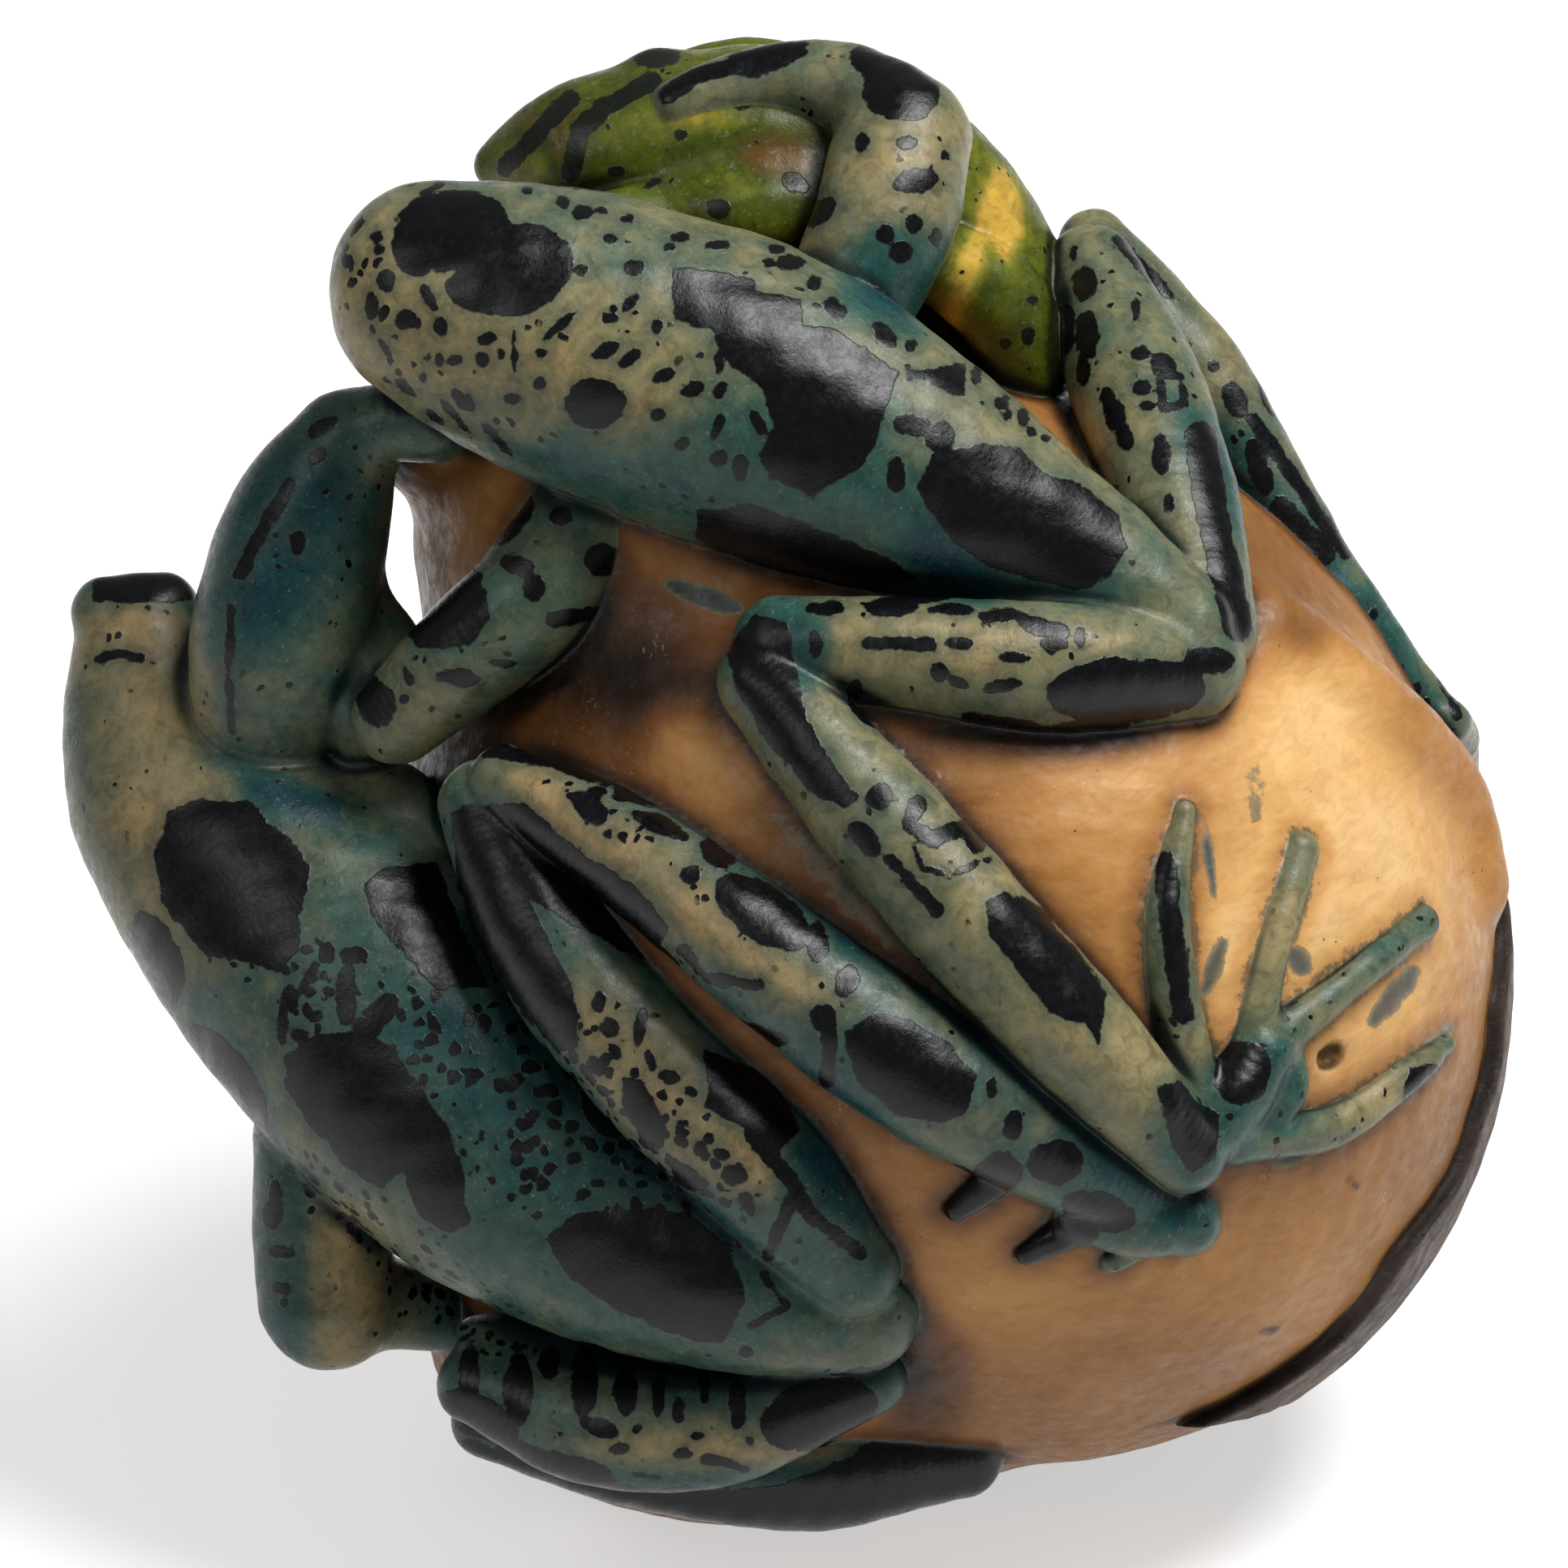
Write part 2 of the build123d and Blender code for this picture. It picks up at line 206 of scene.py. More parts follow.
def coat_reach(points):
    """How far points lie inside the coat's wavy edge."""
    wave = 14 * np.sin(points[:, 1] / 47) + 9 * np.sin(points[:, 1] / 21 + points[:, 0] / 60)
    return ((points - COAT_EDGE) @ COAT_WAY + wave).astype(np.float32)


class Form:
    """A carved form that stands for one CAD node: solids merged softly, with grooves cut in."""

    def __init__(self, node, *solids, grooves=(), blend=14.0):
        self.node, self.solids, self.grooves, self.blend = node, solids, grooves, blend
        self.group = "coat" if node == "seed_coat" else node.split("_")[0]
        self.low = np.min([s.low for s in solids], axis=0)
        self.high = np.max([s.high for s in solids], axis=0)

    def closest(self, points):
        return [p.closest(points) for p in self.solids + self.grooves]

    def field(self, points, stations):
        total = None
        for solid, station in zip(self.solids, stations):
            part = solid.field(points, station)
            total = part if total is None else merge(total, part, self.blend)
        for groove, station in zip(self.grooves, stations[len(self.solids) :]):
            total = carve(total, groove.field(points, station), GROOVE_BLEND)
        if self.group == "coat":
            total = np.maximum(total, -coat_reach(points))
            for bite in COAT_BITES:
                total = carve(total, bite.field(points, None), BITE_BLEND)
        return total


def nut_depth(column, row, side=1, lift=0.0):
    """The nearness of the nut's front or back under a pixel."""
    turn = math.radians(NUT_TURN)
    right, down = column - NUT_MIDDLE[0], row - NUT_MIDDLE[1]
    along = (right * math.cos(turn) + down * math.sin(turn)) / NUT_LONG
    across = (right * math.sin(turn) - down * math.cos(turn)) / NUT_ROUND
    swell = NUT_ROUND * math.sqrt(max(1 - along**2 - across**2, 0))
    return NUT_MIDDLE[2] + side * (swell + lift)


def lying(rows, side=1):
    """Stations on the nut, from (column, row, radius, lift)."""
    return [(c, r, nut_depth(c, r, side, lift), size) for c, r, size, lift in rows]


def on_nut(*rows, side=1):
    """A limb that lies on the nut."""
    return Limb(*lying(rows, side))


FORMS = [
    Form(
        "nut_kernel",
        Egg(NUT_MIDDLE, (NUT_LONG, NUT_ROUND, NUT_ROUND), NUT_TURN),
        Egg((870, 640, 0), (362, 418, 418)),
        Egg((532, 540, 110), (78, 70, 130)),
        Egg((930, 1620, -150), (407, 262, 407)),
        on_nut(
            (1560, 775, 40, -24), (1690, 872, 42, -22), (1790, 985, 42, -26),
            (1822, 1090, 30, -26),
        ),
        grooves=(Egg((1634, 1300, nut_depth(1634, 1300)), (17, 22, 24), 70),),
        blend=60.0,
    ),
    Form("seed_coat", Egg(
        NUT_MIDDLE, (NUT_LONG + COAT, NUT_ROUND + COAT, NUT_ROUND + COAT), NUT_TURN,
    )),
    Form("upper_frog_torso", Limb(
        (545, 366, 395, 137), (640, 398, 405, 168), (770, 440, 412, 186), (897, 484, 418, 190),
        (1015, 536, 425, 178), (1140, 600, 432, 148), (1260, 660, 438, 112), (1370, 720, 446, 84),
        (1455, 772, 455, 58),
        flat=0.9,
    )),
    Form(
        "upper_frog_right_arm",
        Limb((1050, 365, 300, 82), (1092, 268, 290, 88), (1112, 175, 243, 84)),
        Limb(
            (1095, 140, 228, 62), (1035, 112, 190, 56), (970, 102, 180, 49), (900, 112, 180, 42),
            (835, 134, 186, 32),
        ),
    ),
    Form("upper_frog_left_arm", Limb(
        (740, 630, 330, 76), (660, 735, 350, 78), (570, 815, 325, 70), (492, 886, 280, 56),
    )),
    Form("upper_frog_right_thigh", Limb(
        (1345, 330, 70, 54), (1392, 465, 165, 80), (1437, 600, 275, 82), (1488, 775, 405, 58),
    )),
    Form("upper_frog_left_thigh", Limb(
        (960, 792, 500, 56), (1120, 808, 530, 70), (1300, 824, 522, 80), (1462, 822, 445, 68),
    )),
    Form("upper_frog_right_shank", Limb(
        (1350, 302, 20, 46), (1480, 462, 25, 56), (1595, 665, 25, 52), (1700, 806, 12, 40),
        (1785, 892, 0, 26),
    )),
    Form("upper_frog_left_shank", Limb(
        (942, 842, 515, 58), (1060, 985, 575, 74), (1200, 1142, 600, 78), (1340, 1298, 568, 72),
        (1452, 1412, 500, 54),
    )),
    Form(
        "upper_frog_left_foot",
        on_nut((1462, 1408, 38, 20), (1510, 1350, 46, 14), (1550, 1296, 36, 8)),
        on_nut(
            (1474, 1360, 30, 10), (1440, 1230, 34, -6), (1430, 1120, 30, -8), (1455, 1000, 13, 0),
        ),
        on_nut((1532, 1300, 28, 4), (1560, 1170, 23, -2), (1596, 1045, 23, -6)),
        on_nut((1550, 1290, 30, 6), (1655, 1208, 23, 6), (1748, 1135, 21, 2)),
        on_nut(
            (1510, 1398, 34, 8), (1628, 1386, 28, 4), (1735, 1316, 22, 0), (1778, 1284, 14, -2),
        ),
        Egg((1545, 1335, nut_depth(1545, 1335, 1, -8)), (66, 56, 28), -50),
    ),
    Form(
        "upper_frog_right_foot",
        Limb(
            (1784, 888, 4, 27), (1788, 896, nut_depth(1788, 896, -1, 10) / 2, 30),
            *lying([(1789, 912, 32, 16)], -1),
        ),
        on_nut((1788, 905, 32, 20), (1790, 950, 36, 20), (1772, 990, 32, 20), side=-1),
        on_nut((1780, 965, 20, 28), (1785, 1040, 19, 30), (1765, 1115, 17, 30), side=-1),
        on_nut((1775, 965, 20, 28), (1735, 1040, 19, 30), (1692, 1105, 17, 30), side=-1),
        on_nut((1775, 955, 20, 28), (1700, 985, 19, 30), (1636, 1022, 17, 30), side=-1),
    ),
    Form(
        "lower_frog_torso",
        Limb(
            (178, 806, 40, 88), (223, 958, 62, 144), (335, 1090, 105, 190), (455, 1218, 150, 214),
            (595, 1362, 205, 210), (745, 1478, 272, 172), (900, 1555, 335, 130),
            (1055, 1612, 368, 78),
            flat=0.92,
        ),
        Egg((455, 1010, 150), (100, 80, 80)),
        Limb((130, 754, 40, 42), (203, 752, 40, 46)),
    ),
    Form(
        "lower_frog_right_arm",
        Limb((330, 900, 140, 88), (348, 800, 182, 112), (378, 660, 222, 102), (430, 550, 258, 66)),
        Limb((430, 550, 258, 62), (480, 525, 285, 50), (540, 530, 305, 44)),
        Egg((446, 842, 165), (60, 108, 82)),
        Limb((438, 690, 190, 26), (460, 752, 190, 33), (488, 812, 185, 44)),
    ),
    Form(
        "lower_frog_left_arm",
        Limb((390, 1400, 95, 78), (398, 1500, 75, 85), (404, 1600, 60, 87)),
        Limb((410, 1595, 55, 72), (485, 1605, 20, 56), (565, 1625, -10, 46), (650, 1655, -30, 38)),
    ),
    Form("lower_frog_right_thigh", Limb(
        (600, 992, 350, 58), (690, 1165, 398, 84), (820, 1318, 440, 89), (945, 1435, 458, 87),
        (1045, 1556, 425, 62),
    )),
    Form("lower_frog_right_shank", Limb(
        (625, 962, 385, 46), (770, 1045, 468, 66), (940, 1172, 550, 78), (1120, 1308, 572, 84),
        (1300, 1418, 520, 64), (1458, 1506, 432, 38),
    )),
    Form(
        "lower_frog_left_thigh",
        Limb(
            (592, 1702, 215, 50), (720, 1748, 252, 72), (870, 1756, 270, 74),
            (1070, 1694, 290, 46),
        ),
        Egg((715, 1668, 175), (155, 40, 60), 14),
        blend=44.0,
    ),
    Form("lower_frog_left_shank", Limb(
        (605, 1748, 110, 48), (780, 1784, 120, 70), (1000, 1801, 95, 83), (1180, 1785, 50, 60),
    )),
    Form(
        "lower_frog_right_foot",
        on_nut((1462, 1500, 36, 30), (1400, 1500, 44, 26), (1330, 1488, 36, 16)),
        on_nut((1262, 1420, 24, 18), (1214, 1456, 22, 8), (1176, 1484, 15, 4)),
        on_nut((1350, 1492, 24, 14), (1300, 1518, 21, 8), (1262, 1540, 15, 4)),
        on_nut((1400, 1520, 20, 8), (1384, 1536, 16, 6), (1366, 1548, 13, 4)),
    ),
    Form(
        "lower_frog_left_foot",
        on_nut((1215, 1768, 32, 26), (1255, 1766, 36, 26), (1290, 1758, 32, 26), side=-1),
        on_nut((1280, 1765, 19, 26), (1340, 1772, 18, 26), (1400, 1770, 16, 24), side=-1),
        on_nut((1280, 1760, 19, 28), (1330, 1730, 18, 28), (1382, 1697, 16, 28), side=-1),
    ),
    Form(
        "green_frog_torso",
        Limb(
            (616, 206, 80, 32), (655, 200, 86, 56), (720, 190, 98, 90), (800, 186, 104, 106),
            (950, 180, 100, 122), (1105, 236, 70, 124), (1200, 330, 50, 104), (1256, 410, 38, 88),
        ),
        Egg((810, 98, 100), (36, 34, 32)),
        Egg((935, 262, 195), (130, 60, 62)),
        blend=34.0,
    ),
    Form("green_frog_right_arm", Limb(
        (1030, 118, -10, 48), (920, 98, 5, 50), (800, 114, 25, 38), (735, 145, 40, 28),
    )),
    Form("green_frog_left_arm", Limb(
        (830, 270, 190, 48), (715, 300, 205, 50), (605, 320, 175, 32),
    )),
    Form("green_frog_right_thigh", Limb(
        (1230, 385, -75, 70), (1120, 345, -195, 78), (1000, 345, -285, 68), (893, 388, -350, 52),
    )),
    Form("green_frog_left_thigh", Limb(
        (1268, 452, 100, 56), (1225, 370, 148, 62), (1150, 322, 195, 50),
    )),
    Form("green_frog_right_shank", Limb(
        (888, 402, -350, 49), (1005, 520, -438, 51), (1110, 620, -548, 44), (1188, 700, -612, 31),
    )),
    Form(
        "green_frog_right_foot",
        on_nut((1180, 692, 28, 22), (1205, 730, 34, 22), (1215, 765, 28, 22), side=-1),
        on_nut((1205, 725, 17, 26), (1262, 740, 16, 26), (1320, 760, 14, 26), side=-1),
        on_nut((1212, 750, 17, 26), (1255, 810, 16, 26), (1286, 864, 14, 26), side=-1),
        on_nut((1205, 750, 17, 26), (1195, 820, 16, 26), (1182, 884, 14, 26), side=-1),
    ),
]

def ripple(points):
    """The unevenness that the knife leaves."""
    x, y, z = points.T
    broad = np.sin(x / 41 + np.sin(y / 53)) * np.sin(y / 37 + np.sin(z / 47)) * np.sin(z / 59 + 1)
    fine = np.sin((x + y) / 15 + np.sin(z / 17)) * np.sin((y - x + z) / 19)
    return (2.6 * broad + 0.7 * fine).astype(np.float32)


class Near:
    """The forms that reach a box, with each block's closest stations, so that a field is cheap."""

    def __init__(self, own, low, high, centres, edge):
        self.own = own
        self.forms = [
            f
            for f in FORMS
            if f is own or (np.all(f.low - MARGIN < high) and np.all(f.high + MARGIN > low))
        ]
        self.stations = [f.closest(centres) for f in self.forms]
        self.coarse = [f.field(centres, s) for f, s in zip(self.forms, self.stations)]
        self.reached = [field < 1.2 * edge + 24 for field in self.coarse]

    def fields(self, points, block, everywhere=False):
        """Each form's field, left far where the form doesn't reach the points' block."""
        fields = []
        for form, stations, reached in zip(self.forms, self.stations, self.reached):
            here = np.ones(len(points), bool) if everywhere else reached[block]
            field = np.full(len(points), FAR, np.float32)
            if here.any():
                field[here] = form.field(points[here], [s[block[here]] for s in stations])
            fields.append(field)
        return fields

    def total(self, points, fields):
        """The whole carving's field from its forms' fields."""
        groups = {}
        for form, field in zip(self.forms, fields):
            if form.group in groups:
                field = merge(groups[form.group], field, GROUP_BLEND[form.group])
            groups[form.group] = field
        total = None
        for name in sorted(groups):
            total = groups[name] if total is None else merge(total, groups[name], UNION_BLEND)
        return np.maximum(total + ripple(points), -height(points).astype(np.float32))

    def piece(self, points, fields):
        """The field of this form's own skin, which dives under its neighbours at their border."""
        total = self.total(points, fields)
        others = [field for form, field in zip(self.forms, fields) if form is not self.own]
        if not others:
            return total
        own = fields[self.forms.index(self.own)]
        return total + np.maximum(own - np.min(others, axis=0), 0)

    def others(self, points, block):
        """How far points lie from the forms that are neither of this form's group nor the coat."""
        apart = (self.own.group, "coat")
        fields = zip(self.forms, self.fields(points, block, True))
        return np.min([field for form, field in fields if form.group not in apart], axis=0)


def sculpt(form, cell):
    """The form's skin: vertices, quads, the forms near it and each vertex's block."""
    low = form.low - 3 * cell
    edge = BLOCK * cell
    counts = np.ceil((form.high + 3 * cell - low) / edge).astype(int)
    grid = np.stack(np.meshgrid(*[np.arange(n) for n in counts], indexing="ij"), -1).reshape(-1, 3)
    centres = (low + (grid + 0.5) * edge - 0.5 * cell).astype(np.float32)
    near = Near(form, low, form.high + 3 * cell, centres, edge)
    coarse = near.piece(centres, near.coarse)
    every = np.arange(len(centres))
    active = np.abs(coarse) < 1.3 * edge
    dense = np.where(coarse < 0, -FAR, FAR).reshape(counts).astype(np.float32)
    for axis in range(3):
        dense = np.repeat(dense, BLOCK, axis)
    inner = np.stack(np.meshgrid(*[np.arange(BLOCK)] * 3, indexing="ij"), -1).reshape(-1, 3)
    for some in np.array_split(every[active], max(1, active.sum() // 4000)):
        spots = (grid[some][:, None] * BLOCK + inner[None]).reshape(-1, 3)
        points = (low + spots * cell).astype(np.float32)
        block = np.repeat(some, len(inner))
        dense[tuple(spots.T)] = near.piece(points, near.fields(points, block))
    inside = dense < 0
    corner = np.array([(x, y, z) for x in (0, 1) for y in (0, 1) for z in (0, 1)])
    total = sum(
        inside[x : x - 1 or None, y : y - 1 or None, z : z - 1 or None].astype(np.int8)
        for x, y, z in corner
    )
    cells = np.argwhere((total > 0) & (total < 8))
    index = np.full(total.shape, -1, np.int32)
    index[tuple(cells.T)] = np.arange(len(cells))
    value = np.stack([dense[tuple((cells + c).T)] for c in corner], 1)
    summed = np.zeros((len(cells), 3))
    crossings = np.zeros(len(cells))
    for a in range(8):
        for b in range(a + 1, 8):
            if np.abs(corner[a] - corner[b]).sum() != 1:
                continue
            crossed = (value[:, a] < 0) != (value[:, b] < 0)
            t = value[crossed, a] / (value[crossed, a] - value[crossed, b])
            summed[crossed] += corner[a] + t[:, None] * (corner[b] - corner[a])
            crossings[crossed] += 1
    vertices = (low + (cells + summed / crossings[:, None]) * cell).astype(np.float32)
    quads = []
    for axis in range(3):
        one, two = [a for a in range(3) if a != axis]
        step = np.eye(3, dtype=int)
        cross = inside != np.roll(inside, -1, axis)
        cross[tuple(slice(-1, None) if a == axis else slice(None) for a in range(3))] = False
        at = np.argwhere(cross)
        at = at[np.all(at[:, [one, two]] > 0, axis=1) & np.all(at < np.array(total.shape), axis=1)]
        ring = (0 * step[0], step[one], step[one] + step[two], step[two])
        quad = np.stack([index[tuple((at - way).T)] for way in ring], 1)
        forward = inside[tuple(at.T)]
        flip = forward if axis != 1 else ~forward
        quad[flip] = quad[flip][:, ::-1]
        quads.append(quad[np.all(quad >= 0, axis=1)])
    block = np.ravel_multi_index(
        tuple(np.clip((cells // BLOCK).T, 0, counts[:, None] - 1)), tuple(counts)
    )
    return vertices, np.concatenate(quads), near, block


def slope_of(near, points, block, reach=3.0):
    """The outward normal of the whole carving at points."""
    normal = np.zeros((len(points), 3), np.float32)
    for way in ((1, -1, -1), (-1, -1, 1), (-1, 1, -1), (1, 1, 1)):
        way = np.array(way, np.float32)
        spots = points + way * reach
        normal += way * near.total(spots, near.fields(spots, block))[:, None]
    return normal / np.maximum(np.linalg.norm(normal, axis=1), 1e-9)[:, None]


# Paint. Marks are placed in the front view's pixels and run through to the forms that face it.
def oval_depth(flat, mark):
    """How deep points lie inside an oval (column, row, half length, half width, turn or none)."""
    column, row, long, wide, *turn = mark
    c, s = (math.cos(math.radians(turn[0])), math.sin(math.radians(turn[0]))) if turn else (1, 0)
    right, down = flat[:, 0] - column, flat[:, 1] - row
    x, y = (right * c + down * s) / long, (down * c - right * s) / wide
    k0 = np.sqrt(x**2 + y**2) + 1e-6
    k1 = np.sqrt((x / long) ** 2 + (y / wide) ** 2) + 1e-9
    return k0 * (1 - k0) / k1


def line_depth(flat, wide, spots):
    """How deep points lie inside a line of that half width through the spots."""
    best = np.full(len(flat), -FAR)
    for one, other in zip(np.array(spots[:-1], float), np.array(spots[1:], float)):
        way = other - one
        off = flat - one
        t = np.clip(off @ way / (way @ way), 0, 1)
        best = np.maximum(best, wide - np.linalg.norm(off - t[:, None] * way, axis=1))
    return best


def patch_depth(flat, outline):
    """How deep points lie inside an outline."""
    inside = np.zeros(len(flat), bool)
    for one, other in zip(outline, outline[1:] + outline[:1]):
        if one[1] == other[1]:
            continue
        between = (one[1] > flat[:, 1]) != (other[1] > flat[:, 1])
        at = one[0] + (flat[:, 1] - one[1]) * (other[0] - one[0]) / (other[1] - one[1])
        inside ^= between & (flat[:, 0] < at)
    gap = -line_depth(flat, 0, outline + outline[:1])
    return np.where(inside, gap, -gap)


def touches(form, spots, room):
    """Whether marks at those spots can show on the form."""
    spots = np.array(spots, float)
    low, high = spots.min(0) - room, spots.max(0) + room
    return np.all(low < form.high[:2]) and np.all(high > form.low[:2])


def pairs(numbers):
    """Spots (column, row) from a flat run of numbers."""
    return list(zip(numbers[::2], numbers[1::2]))


def depth_of(form, flat, ovals, lines, patches):
    """How deep points lie inside the deepest mark of a kind, negative outside all of them."""
    best = np.full(len(flat), -FADE)
    for mark in ovals:
        if touches(form, [mark[:2]], mark[2] + FADE):
            best = np.maximum(best, oval_depth(flat, mark))
    for wide, *numbers in lines:
        spots = pairs(numbers)
        if touches(form, spots, wide + FADE):
            best = np.maximum(best, line_depth(flat, wide, spots))
    for numbers in patches:
        outline = pairs(numbers)
        if touches(form, outline, FADE):
            best = np.maximum(best, patch_depth(flat, outline))
    return best


def strewn(points, facing, cell, seed, sizes):
    """How deep points lie inside marks strewn over the side that the front view doesn't show."""
    rng = np.random.default_rng(seed)
    best = np.full(len(points), -FADE)
    hidden = np.flatnonzero(facing < HIDDEN)
    tries = min(len(hidden), int(len(hidden) * cell**2 / MARK_AREA))
    middles = []
    for k in rng.permutation(hidden)[:tries]:
        size = sizes[0] + (sizes[1] - sizes[0]) * rng.random() ** 3
        if any(np.linalg.norm(points[k] - m) < MARK_APART * (size + s) for m, s in middles):
            continue
        middles.append((points[k], size))
        squeeze = 0.65 + 0.7 * rng.random(3)
        gap = np.linalg.norm((points - points[k]) * squeeze, axis=1)
        best = np.maximum(best, size - gap)
    return best


# Marks. An oval is column, row, half length, half width and a turn in degrees if it has one; a
# line is its half width, then columns and rows; a patch is its corners' columns and rows.
UPPER_OVALS = [
    (564, 292, 73, 52), (651, 333, 60, 50), (623, 361, 70, 36), (518, 306, 30, 42),
    (1123, 530, 24, 14), (1155, 543, 18, 20), (1101, 590, 12, 22), (736, 503, 37, 30),
    (511, 230, 7, 7), (538, 239, 18, 5, -30), (453, 262, 14, 5, -50), (444, 287, 16, 5, -60),
    (428, 310, 7, 7), (434, 329, 8, 8), (469, 299, 8, 8), (473, 316, 6, 6), (481, 352, 11, 14),
    (462, 384, 8, 18), (505, 402, 14, 12), (535, 374, 18, 6, 60), (548, 409, 9, 13),
    (479, 436, 14, 4, 60), (532, 446, 6, 6), (546, 450, 6, 8), (566, 450, 10, 7),
    (604, 425, 12, 7, -25), (599, 448, 10, 10), (621, 442, 6, 8), (638, 441, 5, 30),
    (694, 407, 28, 5, -40), (671, 441, 6, 6), (670, 479, 8, 8), (634, 498, 10, 7),
    (504, 482, 18, 6, 40), (527, 471, 5, 5), (541, 519, 14, 5, 50), (575, 498, 18, 8, 40),
    (564, 517, 28, 4, 50), (619, 549, 28, 5, 50), (653, 242, 7, 5), (697, 257, 8, 8),
    (721, 269, 12, 10), (744, 267, 7, 5), (775, 278, 8, 5), (756, 302, 7, 5), (841, 300, 12, 6),
    (826, 313, 8, 5), (885, 309, 16, 7), (786, 338, 14, 11), (719, 341, 9, 7),
    (779, 381, 14, 6, -50), (756, 398, 9, 7), (812, 410, 8, 10), (747, 439, 19, 8, -25),
    (779, 448, 17, 9, -35), (819, 470, 16, 9, -25), (854, 486, 15, 8, -20), (887, 457, 8, 14),
    (890, 486, 13, 8, -60), (934, 526, 16, 7, 60), (885, 533, 17, 7, -70), (812, 518, 8, 8),
    (842, 552, 11, 7, -30), (887, 570, 11, 9), (913, 581, 11, 15), (957, 314, 10, 5),
    (946, 331, 8, 6), (975, 331, 19, 10), (1002, 356, 8, 10), (1029, 388, 17, 12, 55),
    (1089, 418, 20, 10, 50), (1120, 433, 8, 8), (1201, 467, 8, 11), (1235, 479, 5, 5),
    (1231, 501, 9, 9), (1237, 517, 8, 8), (1257, 519, 7, 10), (1267, 537, 6, 6), (1285, 545, 5, 5),
    (1297, 534, 10, 4, 40), (1262, 490, 8, 4), (1342, 570, 12, 4, 30), (1110, 115, 48, 42),
    (1080, 82, 34, 22, 20), (1117, 181, 12, 6), (1164, 196, 6, 5), (1127, 229, 29, 15, -10),
    (1008, 266, 24, 15, -40), (1061, 182, 9, 12), (1090, 295, 12, 12), (1124, 281, 11, 12),
    (1152, 297, 8, 10), (1108, 315, 15, 14), (948, 68, 50, 15, -12), (1322, 313, 5, 12),
    (1335, 351, 16, 22), (1311, 407, 13, 32), (1338, 416, 16, 30), (1333, 456, 8, 22),
    (1398, 383, 6, 14), (1402, 438, 12, 10), (1431, 454, 16, 17), (1405, 481, 11, 9),
    (1410, 505, 10, 8), (1373, 519, 42, 13, 70), (1427, 563, 12, 28), (1436, 624, 8, 12),
    (1016, 753, 24, 9), (1097, 751, 33, 12), (1168, 753, 28, 8), (1226, 762, 16, 7, -25),
    (1275, 773, 30, 11, 20), (1295, 796, 18, 9), (1327, 789, 9, 14), (1247, 812, 21, 8, 5),
    (1155, 829, 11, 12), (1178, 843, 14, 6, 30), (1230, 847, 24, 7, -12), (1005, 798, 10, 18),
    (1177, 795, 18, 8), (1382, 852, 98, 40, -3), (1484, 815, 30, 17), (1052, 854, 9, 16),
    (1082, 982, 16, 18), (1063, 1032, 26, 15, 50), (1184, 969, 22, 8, 45), (1214, 1059, 8, 6),
    (1277, 1062, 14, 6, 50), (1513, 733, 16, 38), (1525, 1317, 36, 40), (1494, 452, 6, 6),
    (1521, 493, 24, 14, 65), (1550, 576, 37, 14, 72), (1691, 756, 7, 8), (1689, 800, 33, 14, 55),
    (1725, 822, 6, 8), (1745, 849, 5, 8), (1757, 876, 6, 15), (625, 640, 44, 26, -50),
    (692, 640, 14, 12), (745, 692, 22, 20), (640, 700, 22, 13, 20), (661, 728, 14, 18),
    (465, 865, 36, 24, 60), (505, 834, 14, 7, 70), (568, 836, 28, 11, 5), (501, 863, 5, 5),
    (622, 818, 18, 4, 5),
]
UPPER_LINES = [
    (11, 822, 122, 855, 100, 905, 84, 930, 92, 985, 66), (9, 683, 765, 741, 755),
    (5, 1428, 466, 1452, 466, 1455, 500, 1430, 506, 1426, 470),
    (20, 1476, 541, 1485, 612, 1503, 702, 1520, 773), (8, 1070, 794, 1146, 796),
    (10, 1129, 990, 1118, 1015, 1145, 1035, 1167, 1024, 1189, 1018, 1200, 1040),
    (4, 1123, 1040, 1134, 1068, 1167, 1078, 1200, 1062), (9, 1096, 1057, 1150, 1120),
    (6, 1310, 1106, 1370, 1183), (9, 1211, 766, 1244, 760, 1304, 782, 1288, 801),
    (14, 1430, 1062, 1440, 1150, 1452, 1246), (9, 1543, 518, 1600, 600, 1660, 683),
    (15, 1577, 625, 1604, 660, 1630, 683), (4, 1634, 740, 1640, 755, 1655, 758),
    (6, 1777, 839, 1796, 883), (14, 1195, 892, 1290, 908, 1373, 892),
]
UPPER_PATCHES = [
    (492, 763, 528, 719, 563, 692, 599, 710, 608, 763, 581, 799, 519, 799),
    (
        893, 799, 931, 760, 970, 771, 992, 881, 1025, 941, 1057, 980, 1041, 996, 1008, 985, 948,
        919, 909, 854,
    ),
    (
        1211, 1106, 1233, 1095, 1282, 1117, 1326, 1172, 1359, 1221, 1348, 1281, 1332, 1259, 1288,
        1243, 1244, 1183, 1217, 1150,
    ),
    (
        1420, 1331, 1447, 1325, 1463, 1347, 1496, 1369, 1491, 1424, 1463, 1441, 1441, 1413, 1425,
        1369,
    ),
    (1363, 294, 1397, 333, 1436, 367, 1460, 376, 1416, 330, 1380, 290),
    (
        832, 338, 931, 349, 931, 367, 985, 376, 989, 407, 1025, 412, 1083, 447, 1105, 465, 1092,
        501, 1083, 541, 1056, 586, 1030, 599, 1003, 617, 954, 595, 936, 568, 954, 532, 940, 487,
        896, 456, 878, 416, 832, 402,
    ),
    (1114, 465, 1188, 452, 1186, 496),
    (
        1128, 604, 1146, 563, 1195, 554, 1253, 554, 1284, 590, 1329, 599, 1373, 639, 1382, 679,
        1364, 715, 1324, 729, 1262, 715, 1217, 702, 1172, 670, 1137, 630,
    ),
    (860, 630, 927, 626, 1016, 657, 1083, 684, 1128, 715, 1061, 738, 949, 729, 860, 670),
]
